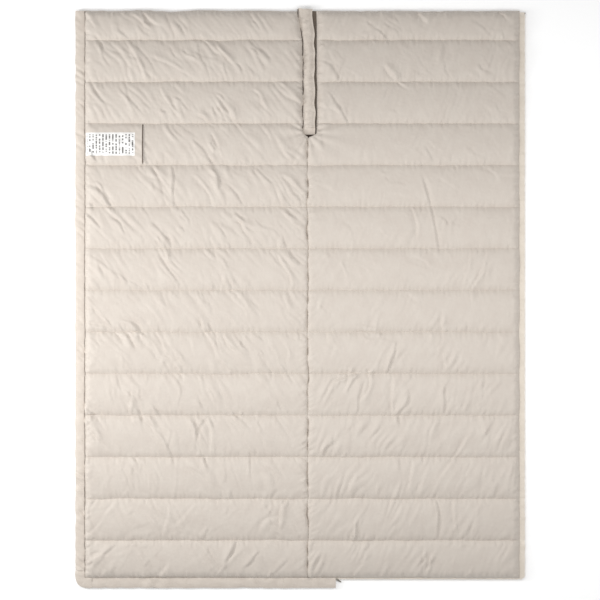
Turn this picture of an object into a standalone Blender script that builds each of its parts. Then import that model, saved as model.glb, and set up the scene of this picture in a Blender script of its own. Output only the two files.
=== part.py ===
"""Camp quilt: a down sleeping bag that opens flat into a quilt.

The quilt lies flat with its lining up.  +X runs from the left half to the right half, +Y to the
head end and +Z up.  The origin is the bottom centre of the quilt's box, so the floor is z = 0.
Two quilted halves meet at the centre seam, which is also the fold.  A zip runs round the side and
foot edges, a second zip closes the slit at the head end, and draft flaps cover both.
"""

import math

import bmesh
import bpy
from mathutils import Matrix, Vector

# ---------------------------------------------------------------- driving dimensions (metres)
QUILT_LENGTH = 1.900            # head edge to foot edge
LEFT_WIDTH = 0.748              # left edge to centre seam
RIGHT_WIDTH = 0.710             # centre seam to right edge
INNER_BAFFLES = 12              # equal baffles between the head and foot baffles
HEAD_BAFFLE = 0.100
FOOT_BAFFLE = 0.128
LOFT = 0.0335                   # floor to the lining's crests
SEAM_HEIGHT = 0.0100            # floor to the top of the shell at a stitched seam
HEM = 0.005                     # flat sewn strip along every edge
SHOULDER = 0.030                # edge to where a baffle reaches its full height

FABRIC = 0.0008                 # shell and lining thickness
CLEARANCE = 0.0003              # gap between neighbouring pieces
FILL_CLEARANCE = 0.0004         # gap between the down and its fabric
FILL_SETBACK = 0.007            # seam to the end of the down

SLIT_LENGTH = 0.411             # head edge to the end of the slit
SLIT_LEFT_EDGE = 0.013          # centre seam to the left half's slit edge
SLIT_RIGHT_EDGE = 0.032         # centre seam to the right half's slit edge
SLIT_TAPER = 0.015              # length over which the slit closes

FLAP_WIDTH = 0.030              # draft flap along the left edge
FOOT_FLAP_WIDTH = 0.033         # draft flap along the foot edge
FLAP_THICKNESS = 0.0010
FLAP_SEAM = 0.0015              # flap's overlap on the hem
CORNER_ARM = 0.025              # fixed part of the flap on each side of the corner
FLAP_END_LEFT = 0.080           # fixed part of the foot flap left of the fold
FLAP_END_RIGHT = 0.094          # foot flap's tail past the fold
FLAP_SPLIT = 0.0005             # gap between neighbouring flap pieces
TAIL_LIFT = 0.0006              # extra height of the tail, which covers the slider

SLIT_FLAP_OVERHANG = 0.006      # slit flap's end above the head edge
SLIT_FLAP_REACH = 0.022         # centre seam to the slit flap's free edge
SLIT_FLAP_HEIGHT = 0.0140       # floor to the slit flap's underside
SLIT_FLAP_RISE = 0.0072         # how far the free edge stands above the sewn edge

TAPE_THICKNESS = 0.0012
TAPE_TUCK = 0.0035              # tape's overlap under the hem
TAPE_LEFT = 0.012               # exposed tape along the left half
TAPE_RIGHT_SIDE = 0.0167        # exposed tape along the right edge
TAPE_RIGHT_FOOT = 0.0030        # exposed tape along the right half's foot edge
TAPE_RIGHT_CORNER = 0.013       # radius of the tape's edge round the right half's corner
SLIT_TAPE_LEFT = 0.010          # exposed tape on the left edge of the slit
SLIT_TAPE_RIGHT = 0.023         # exposed tape on the right edge of the slit
COIL_RADIUS = 0.0015
ZIP_START = 0.080               # fold to the zip's pin and box
STOP_LENGTH = 0.006
PIN_LENGTH = 0.014
BOX_LENGTH = 0.008

SLIDER_LENGTH = 0.012
SLIDER_WALL = 0.0010
SLIDER_PLAY = 0.0003            # running gap round the coil
SLIDER_PARK = 0.0003            # gap between a parked slider and its stop
PULL_LENGTH = 0.020
PULL_WIDTH = 0.006
PULL_THICKNESS = 0.0010
BAIL_RADIUS = 0.0005
BAIL_HALF_SPAN = 0.003
BAIL_DROP = 0.0026              # slider's underside to the bail's lowest centre line
MAIN_PULL_TURN = math.radians(-30)   # the loose pull lies turned out from the edge

POCKET_WIDTH = 0.197
POCKET_BAFFLE = 3               # counted from the head, first is 0
LABEL_LENGTH = 0.172
LABEL_WIDTH = 0.077
POCKET_LIFT = 0.0022            # lining's underside to the pocket's, clear of the stitches
LABEL_LIFT = 0.0009             # gap between the pocket and its label

STITCH_WIDTH = 0.0007
STITCH_HEIGHT = 0.0005
STITCH_CLEARANCE = 0.00018      # gap between a stitch and the fabric that rises beside it
EDGE_STITCH = 0.0035            # an edge to the row of stitches beside it

FOLD_GAP = 0.0035               # crests to the fold's axis

# ---------------------------------------------------------------- places worked out from them
ZIP_EDGE = CLEARANCE + 2 * COIL_RADIUS
SPAN = FLAP_WIDTH + LEFT_WIDTH + RIGHT_WIDTH + TAPE_RIGHT_SIDE + ZIP_EDGE
FOLD_X = FLAP_WIDTH + LEFT_WIDTH - SPAN / 2
LEFT_X = FOLD_X - LEFT_WIDTH
RIGHT_X = FOLD_X + RIGHT_WIDTH
HEAD_Y = (QUILT_LENGTH + FOOT_FLAP_WIDTH + SLIT_FLAP_OVERHANG) / 2 - SLIT_FLAP_OVERHANG
FOOT_Y = HEAD_Y - QUILT_LENGTH
SLIT_END_Y = HEAD_Y - SLIT_LENGTH

BAFFLE = (QUILT_LENGTH - HEAD_BAFFLE - FOOT_BAFFLE) / INNER_BAFFLES
SEAMS = ([HEAD_Y] + [HEAD_Y - HEAD_BAFFLE - i * BAFFLE for i in range(INNER_BAFFLES + 1)]
         + [FOOT_Y])

LINING_Z = SEAM_HEIGHT + CLEARANCE          # lining's underside at a seam
HEM_TOP = LINING_Z + FABRIC
LINING_RISE = LOFT - FABRIC - LINING_Z      # crest above the seam, measured on the underside
SHELL_DROP = SEAM_HEIGHT - FABRIC           # seam down to the resting face, on the top side
TAPE_TOP = SEAM_HEIGHT - FABRIC - CLEARANCE
COIL_Z = TAPE_TOP - TAPE_THICKNESS / 2
FLAP_Z = HEM_TOP + CLEARANCE
FOLD_AXIS_HEIGHT = LOFT + FOLD_GAP
CHANNEL = COIL_RADIUS + SLIDER_PLAY

CREST = ((0.0, 0.0), (0.2, 0.78), (0.5, 1.0), (0.8, 0.78), (1.0, 0.0))
BELLY = ((0.0, 0.0), (0.2, 1.0), (0.8, 1.0), (1.0, 0.0))
STEEPEST = CREST[1][1] * LINING_RISE / (CREST[1][0] * (min(HEAD_BAFFLE, FOOT_BAFFLE) - HEM))
CREST_ROWS = (0.2, 0.5, 0.8)
BELLY_ROWS = (0.2, 0.35, 0.65, 0.8)


# ---------------------------------------------------------------- the quilted surface
def between(points, value):
    """Height on a line through (place, height) points."""
    for (a, height_a), (b, height_b) in zip(points, points[1:]):
        if value <= b:
            return height_a + (height_b - height_a) * (value - a) / (b - a)
    return points[-1][1]


def slit_share(y):
    """1 beside the slit, 0 below it, and a straight taper between."""
    return min(1.0, max(0.0, (y - SLIT_END_Y + SLIT_TAPER) / SLIT_TAPER))


def half_edges(side, y):
    """Left and right edge of one half at y."""
    if side == "left":
        return LEFT_X, FOLD_X - CLEARANCE - SLIT_LEFT_EDGE * slit_share(y)
    return FOLD_X + CLEARANCE + SLIT_RIGHT_EDGE * slit_share(y), RIGHT_X


def baffle_share(y, profile):
    """A profile's value at y, in the baffle that holds y."""
    for upper, lower in zip(SEAMS, SEAMS[1:]):
        if y >= lower - 1e-9:
            hem_top = HEM if upper == SEAMS[0] else 0.0
            hem_foot = HEM if lower == SEAMS[-1] else 0.0
            depth = upper - lower - hem_top - hem_foot
            share = min(1.0, max(0.0, (upper - hem_top - y) / depth))
            return between(profile, share)
    return 0.0


def swell(side, x, y, profile):
    """Share of the full loft at a point of one half."""
    left, right = half_edges(side, y)
    inset = min(x - left, right - x)
    across = min(1.0, max(0.0, (inset - HEM) / (SHOULDER - HEM)))
    return across * baffle_share(y, profile)


def lining_z(side, x, y):
    return LINING_Z + LINING_RISE * swell(side, x, y, CREST)


def shell_z(side, x, y):
    return SEAM_HEIGHT - SHELL_DROP * swell(side, x, y, BELLY)


def sheet_rows(fractions):
    """The y of each row of a sheet, from head to foot."""
    rows = {HEAD_Y, FOOT_Y, SLIT_END_Y, SLIT_END_Y - SLIT_TAPER}
    for upper, lower in zip(SEAMS, SEAMS[1:]):
        top = upper - (HEM if upper == SEAMS[0] else 0.0)
        foot = lower + (HEM if lower == SEAMS[-1] else 0.0)
        rows.update((top, foot))
        rows.update(top + (foot - top) * share for share in fractions)
    return sorted(rows, reverse=True)


def sheet_columns(side, y):
    """The x of each column of a sheet at y."""
    left, right = half_edges(side, y)
    middle = (LEFT_X + FOLD_X) / 2 if side == "left" else (FOLD_X + RIGHT_X) / 2
    return [left, left + HEM, left + SHOULDER, middle, right - SHOULDER, right - HEM, right]


# ---------------------------------------------------------------- building blocks
def clear_scene():
    for obj in list(bpy.data.objects):
        bpy.data.objects.remove(obj, do_unlink=True)


def srgb(code):
    """Linear colour of an sRGB hex code."""
    parts = [int(code[i:i + 2], 16) / 255 for i in (1, 3, 5)]
    return [c / 12.92 if c <= 0.04045 else ((c + 0.055) / 1.055) ** 2.4 for c in parts] + [1.0]


def make_material(name, code, roughness, metallic=0.0):
    material = bpy.data.materials.new(name)
    material.use_nodes = True
    shader = material.node_tree.nodes["Principled BSDF"]
    shader.inputs["Base Color"].default_value = srgb(code)
    shader.inputs["Roughness"].default_value = roughness
    shader.inputs["Metallic"].default_value = metallic
    material.diffuse_color = srgb(code)
    return material


class Quilt:
    """The collection, its materials and the empties that the joints turn on."""

    def __init__(self):
        self.parts = bpy.data.collections.new("camp_quilt")
        self.guides = bpy.data.collections.new("camp_quilt_guides")
        for collection in (self.parts, self.guides):
            bpy.context.scene.collection.children.link(collection)
        self.materials = {
            "lining": make_material("lining_taffeta", "#DDD3C9", 0.62),
            "outer_shell": make_material("outer_shell_taffeta", "#CFC4B8", 0.60),
            "down": make_material("down_fill", "#F2EEE8", 0.95),
            "flap": make_material("flap_taffeta", "#DAD0C6", 0.62),
            "tape": make_material("zip_tape", "#B7AB9D", 0.85),
            "coil": make_material("zip_coil", "#8D8378", 0.45),
            "label": make_material("care_label", "#F0EEEC", 0.55),
            "thread": make_material("sewing_thread", "#C2B7AA", 0.70),
            "metal": make_material("slider_metal", "#6A6661", 0.38, 0.9),
        }
        self.axes = {}

    def axis(self, name, place, parent=None):
        """An empty on a joint's axis."""
        empty = bpy.data.objects.new(name, None)
        empty.empty_display_size = 0.03
        self.guides.objects.link(empty)
        self.axes[name] = Vector(place)
        if parent:
            empty.parent = self.guides.objects[parent]
            empty.location = Vector(place) - self.axes[parent]
        else:
            empty.location = place
        return empty

    def add(self, name, mesh, material, axis=None):
        """Link a mesh made in world places as a named part, under its joint's empty."""
        mesh.name = name
        mesh.materials.clear()
        mesh.materials.append(self.materials[material])
        obj = bpy.data.objects.new(name, mesh)
        self.parts.objects.link(obj)
        origin = self.axes[axis] if axis else Vector((0, 0, 0))
        mesh.transform(Matrix.Translation(-origin))
        if axis:
            obj.parent = self.guides.objects[axis]
        return obj


def grid_points(rows, columns_at):
    """(x, y) of each grid corner, one list for each row."""
    return [[(x, y) for x in columns_at(y)] for y in rows]


def new_grid(points, keep=None):
    """A grid primitive stretched over rows of (x, y) points; keep(row, column) picks cells.

    Every cell is split the same way, so layers over one another have parallel facets.
    """
    across, along = len(points[0]) - 1, len(points) - 1
    bm = bmesh.new()
    bmesh.ops.create_grid(bm, x_segments=across, y_segments=along, size=1.0)
    if keep:
        centres = {face: face.calc_center_median() for face in bm.faces}
        dropped = [face for face, centre in centres.items()
                   if not keep(int((1 - centre.y) / 2 * along), int((centre.x + 1) / 2 * across))]
        bmesh.ops.delete(bm, geom=dropped, context="FACES")
    bmesh.ops.triangulate(bm, faces=bm.faces, quad_method="FIXED")
    for vertex in bm.verts:
        column = round((vertex.co.x + 1) / 2 * across)
        row = round((1 - vertex.co.y) / 2 * along)
        vertex.co = (*points[row][column], 0.0)
    return bm


def finish_mesh(bm):
    bmesh.ops.recalc_face_normals(bm, faces=bm.faces)
    mesh = bpy.data.meshes.new("mesh")
    bm.to_mesh(mesh)
    bm.free()
    return mesh


def sheet_mesh(points, height):
    """An open sheet with its faces up."""
    bm = new_grid(points)
    for vertex in bm.verts:
        vertex.co.z = height(vertex.co.x, vertex.co.y)
    bm.normal_update()
    if sum(face.normal.z for face in bm.faces) < 0:
        bmesh.ops.reverse_faces(bm, faces=bm.faces)
    mesh = bpy.data.meshes.new("sheet")
    bm.to_mesh(mesh)
    bm.free()
    return mesh


def slab_mesh(points, bottom, top, keep=None):
    """A closed slab between two heights over a grid, or over the cells of it that are kept."""
    bm = new_grid(points, keep)
    lower = list(bm.verts)
    raised = bmesh.ops.extrude_face_region(bm, geom=list(bm.faces), use_keep_orig=True)
    upper = [item for item in raised["geom"] if isinstance(item, bmesh.types.BMVert)]
    for vertex in lower:
        vertex.co.z = bottom(vertex.co.x, vertex.co.y)
    for vertex in upper:
        vertex.co.z = top(vertex.co.x, vertex.co.y)
    return finish_mesh(bm)


def add_boxes(bm, boxes):
    """Separate boxes, each given by its two far corners."""
    for low, high in boxes:
        centre = (Vector(low) + Vector(high)) / 2
        size = Vector(high) - Vector(low)
        matrix = Matrix.Translation(centre) @ Matrix.Diagonal((*size, 1.0))
        bmesh.ops.create_cube(bm, size=1.0, matrix=matrix)


def boxes_mesh(boxes):
    bm = bmesh.new()
    add_boxes(bm, boxes)
    return finish_mesh(bm)


def curve_mesh(curve):
    """A closed mesh from a curve, with its caps welded on."""
    holder = bpy.data.objects.new("curve", curve)
    bpy.context.scene.collection.objects.link(holder)
    graph = bpy.context.evaluated_depsgraph_get()
    mesh = bpy.data.meshes.new_from_object(holder.evaluated_get(graph))
    bpy.data.objects.remove(holder, do_unlink=True)
    bm = bmesh.new()
    bm.from_mesh(mesh)
    bmesh.ops.remove_doubles(bm, verts=bm.verts, dist=1e-6)
    return finish_mesh(bm)


def outline_mesh(outline, middle_z, thickness):
    """A flat plate from a plan outline."""
    curve = bpy.data.curves.new("outline", "CURVE")
    curve.dimensions = "2D"
    curve.fill_mode = "BOTH"
    curve.extrude = thickness / 2
    spline = curve.splines.new("POLY")
    spline.points.add(len(outline) - 1)
    for point, (x, y) in zip(spline.points, outline):
        point.co = (x, y, 0.0, 1.0)
    spline.use_cyclic_u = True
    mesh = curve_mesh(curve)
    mesh.transform(Matrix.Translation((0, 0, middle_z)))
    return mesh


def tube_mesh(path, radius):
    """A round wire along a path."""
    curve = bpy.data.curves.new("wire", "CURVE")
    curve.dimensions = "3D"
    curve.bevel_depth = radius
    curve.bevel_resolution = 2
    curve.use_fill_caps = True
    spline = curve.splines.new("POLY")
    spline.points.add(len(path) - 1)
    for point, place in zip(spline.points, path):
        point.co = (*place, 1.0)
    return curve_mesh(curve)


def arc(centre, radius_x, radius_y, start, end, steps=8):
    """Plan points along an arc; angles in degrees."""
    turns = [math.radians(start + (end - start) * i / steps) for i in range(steps + 1)]
    return [(centre[0] + radius_x * math.cos(t), centre[1] + radius_y * math.sin(t))
            for t in turns]


# ---------------------------------------------------------------- quilted halves
def add_half(quilt, side, axis=None):
    """Shell, lining, down and stitches of one half."""
    add_sheet(quilt, "lining", side, lining_z, CREST_ROWS, 1.0, axis)
    add_sheet(quilt, "outer_shell", side, shell_z, BELLY_ROWS, -1.0, axis)
    for number, (upper, lower) in enumerate(zip(SEAMS, SEAMS[1:]), start=1):
        quilt.add(f"down_fill_{side}_{number:02d}", fill_mesh(side, upper, lower), "down", axis)

    quilt.add(f"quilting_stitches_{side}", stitches_mesh(side), "thread", axis)


def add_sheet(quilt, name, side, height, fractions, grow, axis):
    """One layer of fabric; grow is 1 to thicken it upwards, -1 downwards."""
    points = grid_points(sheet_rows(fractions), lambda y: sheet_columns(side, y))
    mesh = sheet_mesh(points, lambda x, y: height(side, x, y))
    obj = quilt.add(f"{name}_{side}", mesh, name, axis)
    solidify = obj.modifiers.new("fabric", "SOLIDIFY")
    solidify.thickness = FABRIC
    solidify.offset = grow


def fill_mesh(side, upper, lower):
    """The down in one baffle, clear of the seams round it."""
    top = upper - (HEM if upper == SEAMS[0] else 0.0)
    foot = lower + (HEM if lower == SEAMS[-1] else 0.0)
    rows = [top - FILL_SETBACK] + [top + (foot - top) * share for share in CREST_ROWS]
    rows.append(foot + FILL_SETBACK)
    left, right = half_edges(side, upper)
    middle = (left + right) / 2
    columns = [left + SHOULDER, middle, right - SHOULDER]
    return slab_mesh(
        grid_points(rows, lambda y: columns),
        lambda x, y: SEAM_HEIGHT - SHELL_DROP * baffle_share(y, BELLY) + FILL_CLEARANCE,
        lambda x, y: LINING_Z + LINING_RISE * baffle_share(y, CREST) - FILL_CLEARANCE)


def stitches_mesh(side):
    """Thread along every baffle seam and hem of one half, as one connected net."""
    half = STITCH_WIDTH / 2
    lines = [HEAD_Y - EDGE_STITCH] + SEAMS[1:-1] + [FOOT_Y + EDGE_STITCH]
    corners = [SLIT_END_Y, SLIT_END_Y - SLIT_TAPER]
    rows = sorted([y + d for y in lines for d in (-half, half)] + corners, reverse=True)

    def columns(y):
        left, right = half_edges(side, y)
        ends = (left + EDGE_STITCH, right - EDGE_STITCH)
        return [x + d for x in ends for d in (-half, half)]

    def sewn(row, column):
        middle = (rows[row] + rows[row + 1]) / 2
        return column != 1 or any(abs(middle - y) < half for y in lines)

    low_z = HEM_TOP + STITCH_CLEARANCE + STEEPEST * half
    return slab_mesh(grid_points(rows, columns), lambda x, y: low_z,
                     lambda x, y: low_z + STITCH_HEIGHT, sewn)


# ---------------------------------------------------------------- pocket and label
def layer_mesh(columns, rows, lift):
    """A sheet of fabric sewn on top of the left lining."""
    return slab_mesh(
        grid_points(rows, lambda y: columns),
        lambda x, y: lining_z("left", x, y) + lift,
        lambda x, y: lining_z("left", x, y) + lift + FABRIC)


def add_pocket(quilt):
    upper, lower = SEAMS[POCKET_BAFFLE], SEAMS[POCKET_BAFFLE + 1]
    rows = [y for y in sheet_rows(CREST_ROWS) if lower <= y <= upper]
    columns = [LEFT_X + HEM, LEFT_X + SHOULDER, LEFT_X + POCKET_WIDTH]
    quilt.add("inner_pocket", layer_mesh(columns, rows, POCKET_LIFT), "lining")

    middle = (upper + lower) / 2
    high, low = middle + LABEL_WIDTH / 2, middle - LABEL_WIDTH / 2
    label_rows = [high] + [y for y in rows if low < y < high] + [low]
    label_columns = [LEFT_X + HEM, LEFT_X + SHOULDER, LEFT_X + LABEL_LENGTH]
    label = layer_mesh(label_columns, label_rows, POCKET_LIFT + FABRIC + LABEL_LIFT)
    quilt.add("care_label", label, "label")


# ---------------------------------------------------------------- draft flaps
def flap_box(x_low, x_high, y_low, y_high, lift=0.0):
    base = FLAP_Z + lift
    return boxes_mesh([((x_low, y_low, base), (x_high, y_high, base + FLAP_THICKNESS))])


def add_draft_flaps(quilt):
    """Flap along the left edge and the foot edge, hinged on its seam, with fixed ends."""
    outer_x = LEFT_X - FLAP_WIDTH
    outer_y = FOOT_Y - FOOT_FLAP_WIDTH
    arm_x = LEFT_X + CORNER_ARM
    arm_y = FOOT_Y + CORNER_ARM
    inner_x = LEFT_X + FLAP_SEAM
    inner_y = FOOT_Y + FLAP_SEAM
    hinge_z = FLAP_Z + FLAP_THICKNESS / 2
    hinge_inset = FLAP_THICKNESS / 2

    quilt.axis("side_flap_axis", (inner_x - hinge_inset, (HEAD_Y + FOOT_Y) / 2, hinge_z))
    side = flap_box(outer_x, inner_x, arm_y + FLAP_SPLIT, HEAD_Y)
    quilt.add("side_flap", side, "flap", "side_flap_axis")

    corner = [(inner_x, arm_y), (outer_x, arm_y)]
    corner += arc((LEFT_X, FOOT_Y), FLAP_WIDTH, FOOT_FLAP_WIDTH, 180, 270)
    corner += [(arm_x, outer_y), (arm_x, inner_y), (inner_x, inner_y)]
    quilt.add("corner_flap", outline_mesh(corner, hinge_z, FLAP_THICKNESS), "flap")

    end_x = FOLD_X - FLAP_END_LEFT
    quilt.axis("foot_flap_axis", ((arm_x + end_x) / 2, inner_y - hinge_inset, hinge_z))
    foot = flap_box(arm_x + FLAP_SPLIT, end_x - FLAP_SPLIT, outer_y, inner_y)
    quilt.add("foot_flap", foot, "flap", "foot_flap_axis")

    end_left = flap_box(end_x, FOLD_X - CLEARANCE, outer_y, inner_y)
    quilt.add("foot_flap_end_left", end_left, "flap")
    end_right = flap_box(FOLD_X + CLEARANCE, FOLD_X + FLAP_END_RIGHT, outer_y, inner_y, TAIL_LIFT)
    quilt.add("foot_flap_end_right", end_right, "flap", "fold_axis")


def slit_flap_z(x):
    """Underside of the slit flap: level over the zip, then rising to its free edge."""
    share = max(0.0, (x - FOLD_X) / SLIT_FLAP_REACH)
    return SLIT_FLAP_HEIGHT + SLIT_FLAP_RISE * share ** 2


def add_slit_flap(quilt):
    """Flap over the slit's zip, hinged on the left half's slit edge."""
    seam_x = FOLD_X - SLIT_LEFT_EDGE
    hinge_inset = FLAP_THICKNESS / 2
    quilt.axis("slit_flap_axis", (seam_x + hinge_inset, (HEAD_Y + SLIT_END_Y) / 2,
                                  SLIT_FLAP_HEIGHT + hinge_inset))
    columns = [seam_x] + [FOLD_X + SLIT_FLAP_REACH * i / 4 for i in range(5)]
    rows = [HEAD_Y + SLIT_FLAP_OVERHANG, SLIT_END_Y]
    flap = slab_mesh(grid_points(rows, lambda y: columns), lambda x, y: slit_flap_z(x),
                     lambda x, y: slit_flap_z(x) + FLAP_THICKNESS)
    quilt.add("slit_flap", flap, "flap", "slit_flap_axis")


def add_slit_flap_seam(quilt):
    """Folded seam allowance that carries the slit flap on the left half's edge."""
    seam_x = FOLD_X - SLIT_LEFT_EDGE
    low = (seam_x - EDGE_STITCH + STITCH_WIDTH / 2 + CLEARANCE, SLIT_END_Y, HEM_TOP + CLEARANCE)
    high = (seam_x - CLEARANCE, HEAD_Y, SLIT_FLAP_HEIGHT + FLAP_THICKNESS / 2)
    quilt.add("slit_flap_seam", boxes_mesh([(low, high)]), "flap")


# ---------------------------------------------------------------- main zip
def add_main_zip(quilt):
    """Tape, coil and ends on both halves, round the side and the foot."""
    middle = TAPE_TOP - TAPE_THICKNESS / 2
    coil_out = CLEARANCE + COIL_RADIUS
    stop_y = HEAD_Y - HEM - STOP_LENGTH

    start_x = FOLD_X - ZIP_START
    left = [(LEFT_X + TAPE_TUCK, HEAD_Y - HEM), (LEFT_X - TAPE_LEFT, HEAD_Y - HEM)]
    left += arc((LEFT_X, FOOT_Y), TAPE_LEFT, TAPE_LEFT, 180, 270)
    left += [(start_x, FOOT_Y - TAPE_LEFT), (start_x, FOOT_Y + TAPE_TUCK),
             (LEFT_X + TAPE_TUCK, FOOT_Y + TAPE_TUCK)]
    quilt.add("main_zip_tape_left", outline_mesh(left, middle, TAPE_THICKNESS), "tape")

    ring = TAPE_LEFT + coil_out
    path = [(LEFT_X - ring, stop_y)] + arc((LEFT_X, FOOT_Y), ring, ring, 180, 270)
    path.append((start_x - PIN_LENGTH, FOOT_Y - ring))
    quilt.add("main_zip_coil_left", tube_mesh([(x, y, COIL_Z) for x, y in path], COIL_RADIUS),
              "coil")
    pin_start = start_x - PIN_LENGTH + CLEARANCE
    quilt.add("main_zip_pin", rod_block(pin_start, start_x, FOOT_Y - ring), "metal")
    quilt.add("main_zip_stop_left", boxes_mesh([stop_box(LEFT_X - ring, stop_y)]), "metal")

    start_x = FOLD_X + ZIP_START
    edge_x, edge_y = RIGHT_X + TAPE_RIGHT_SIDE, FOOT_Y - TAPE_RIGHT_FOOT
    centre = (edge_x - TAPE_RIGHT_CORNER, edge_y + TAPE_RIGHT_CORNER)
    right = [(RIGHT_X - TAPE_TUCK, HEAD_Y - HEM), (RIGHT_X - TAPE_TUCK, FOOT_Y + TAPE_TUCK),
             (start_x, FOOT_Y + TAPE_TUCK), (start_x, edge_y)]
    right += arc(centre, TAPE_RIGHT_CORNER, TAPE_RIGHT_CORNER, 270, 360)
    right.append((edge_x, HEAD_Y - HEM))
    quilt.add("main_zip_tape_right", outline_mesh(right, middle, TAPE_THICKNESS), "tape",
              "fold_axis")

    coil_x, coil_y = edge_x + coil_out, edge_y - coil_out
    ring = TAPE_RIGHT_CORNER + coil_out
    path = [(start_x + BOX_LENGTH, coil_y)] + arc(centre, ring, ring, 270, 360)
    path.append((coil_x, stop_y))
    quilt.add("main_zip_coil_right", tube_mesh([(x, y, COIL_Z) for x, y in path], COIL_RADIUS),
              "coil", "fold_axis")
    box_end = start_x + BOX_LENGTH - CLEARANCE
    quilt.add("main_zip_box", rod_block(start_x, box_end, coil_y), "metal", "fold_axis")
    stop = boxes_mesh([stop_box(coil_x, stop_y)])
    quilt.add("main_zip_stop_right", stop, "metal", "fold_axis")

    centre = Vector((start_x + BOX_LENGTH + SLIDER_PARK + SLIDER_LENGTH / 2,
                     coil_y, COIL_Z))
    add_slider(quilt, "main_zip", centre, 0.0, MAIN_PULL_TURN, "fold_axis")


def rod_block(x_low, x_high, y):
    """A square end piece in line with a coil that runs along X."""
    r = COIL_RADIUS
    return boxes_mesh([((x_low, y - r, COIL_Z - r), (x_high, y + r, COIL_Z + r))])


def stop_box(x, y):
    """Corners of a square stop in line with a coil that runs along Y, beyond y."""
    r = COIL_RADIUS
    return (x - r, y + CLEARANCE, COIL_Z - r), (x + r, y + STOP_LENGTH, COIL_Z + r)


# ---------------------------------------------------------------- slit zip
def add_slit_zip(quilt):
    """Straight tapes and coils on both edges of the slit, with the slider on the left coil."""
    middle = TAPE_TOP - TAPE_THICKNESS / 2
    low_y = SLIT_END_Y + HEM
    stop_y = HEAD_Y - HEM - STOP_LENGTH
    half = TAPE_THICKNESS / 2
    left_edge = FOLD_X - CLEARANCE - SLIT_LEFT_EDGE
    right_edge = FOLD_X + CLEARANCE + SLIT_RIGHT_EDGE
    left_reach = left_edge + SLIT_TAPE_LEFT
    right_reach = right_edge - SLIT_TAPE_RIGHT

    plate = ((left_edge - TAPE_TUCK, low_y, middle - half), (left_reach, HEAD_Y, middle + half))
    quilt.add("slit_zip_tape_left", boxes_mesh([plate]), "tape")
    plate = ((right_reach, low_y, middle - half), (right_edge + TAPE_TUCK, HEAD_Y, middle + half))
    quilt.add("slit_zip_tape_right", boxes_mesh([plate]), "tape", "fold_axis")

    left_coil = left_reach + CLEARANCE + COIL_RADIUS
    right_coil = right_reach - CLEARANCE - COIL_RADIUS
    coil_start = low_y + STOP_LENGTH
    coil = tube_mesh([(left_coil, coil_start, COIL_Z), (left_coil, stop_y, COIL_Z)], COIL_RADIUS)
    quilt.add("slit_zip_coil_left", coil, "coil")
    coil = tube_mesh([(right_coil, coil_start, COIL_Z), (right_coil, stop_y, COIL_Z)], COIL_RADIUS)
    quilt.add("slit_zip_coil_right", coil, "coil", "fold_axis")
    quilt.add("slit_zip_top_stop", boxes_mesh([stop_box(left_coil, stop_y)]), "metal")

    centre = Vector((left_coil, coil_start + SLIDER_PARK + SLIDER_LENGTH / 2, COIL_Z))
    add_slider(quilt, "slit_zip", centre, math.radians(90), 0.0, None)


# ---------------------------------------------------------------- sliders
def channel_outline():
    """Section of a slider round its coil, open on the tape's side; u runs away from the tape."""
    outer = CHANNEL + SLIDER_WALL
    mouth = COIL_RADIUS + CLEARANCE + SLIDER_WALL
    return [(-mouth, outer), (outer, outer), (outer, -outer), (-mouth, -outer),
            (-mouth, -CHANNEL), (CHANNEL, -CHANNEL), (CHANNEL, CHANNEL), (-mouth, CHANNEL)]


def slider_mesh():
    """Slider along local X, with the tape on its +Y side and a bail under it."""
    body = outline_mesh(channel_outline(), 0.0, SLIDER_LENGTH)
    body.transform(Matrix(((0, 0, 1, 0), (-1, 0, 0, 0), (0, 1, 0, 0), (0, 0, 0, 1))))
    under = -(CHANNEL + SLIDER_WALL)
    wall_middle = under + SLIDER_WALL / 2
    reach = BAIL_HALF_SPAN
    corner = BAIL_DROP / 2
    path = [(-reach, 0, wall_middle), (-reach, 0, under - corner)]
    path += [(-reach + corner, 0, under - BAIL_DROP), (reach - corner, 0, under - BAIL_DROP)]
    path += [(reach, 0, under - corner), (reach, 0, wall_middle)]
    bail = tube_mesh(path, BAIL_RADIUS)
    return join_meshes(body, bail)


def join_meshes(first, second):
    """Boolean union of two closed meshes."""
    holders = []
    for mesh in (first, second):
        holder = bpy.data.objects.new("joined", mesh)
        bpy.context.scene.collection.objects.link(holder)
        holders.append(holder)
    union = holders[0].modifiers.new("union", "BOOLEAN")
    union.operation = "UNION"
    union.solver = "EXACT"
    union.object = holders[1]
    graph = bpy.context.evaluated_depsgraph_get()
    mesh = bpy.data.meshes.new_from_object(holders[0].evaluated_get(graph))
    for holder in holders:
        bpy.data.objects.remove(holder, do_unlink=True)
    return mesh


def pull_mesh():
    """Flat pull along local X, its eye's bar on the origin."""
    half = PULL_WIDTH / 2
    bar = PULL_THICKNESS / 2
    eye_length = 0.0045
    rail = 0.0010
    pad_start = bar + eye_length
    frame = [(-bar, -half), (pad_start, -half), (pad_start + rail, -half)]
    tip = [(PULL_LENGTH - half * 0.6, -half * 0.8), (PULL_LENGTH, -half * 0.3),
           (PULL_LENGTH, half * 0.3), (PULL_LENGTH - half * 0.6, half * 0.8)]
    frame += tip + [(pad_start + rail, half), (pad_start, half), (-bar, half)]
    curve = bpy.data.curves.new("pull", "CURVE")
    curve.dimensions = "2D"
    curve.fill_mode = "BOTH"
    curve.extrude = PULL_THICKNESS / 2
    inner = half - rail
    eye = [(bar, -inner), (bar, inner), (pad_start, inner), (pad_start, -inner)]
    for outline in (frame, eye):
        spline = curve.splines.new("POLY")
        spline.points.add(len(outline) - 1)
        for point, (x, y) in zip(spline.points, outline):
            point.co = (x, y, 0.0, 1.0)
        spline.use_cyclic_u = True
    return curve_mesh(curve)


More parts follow.
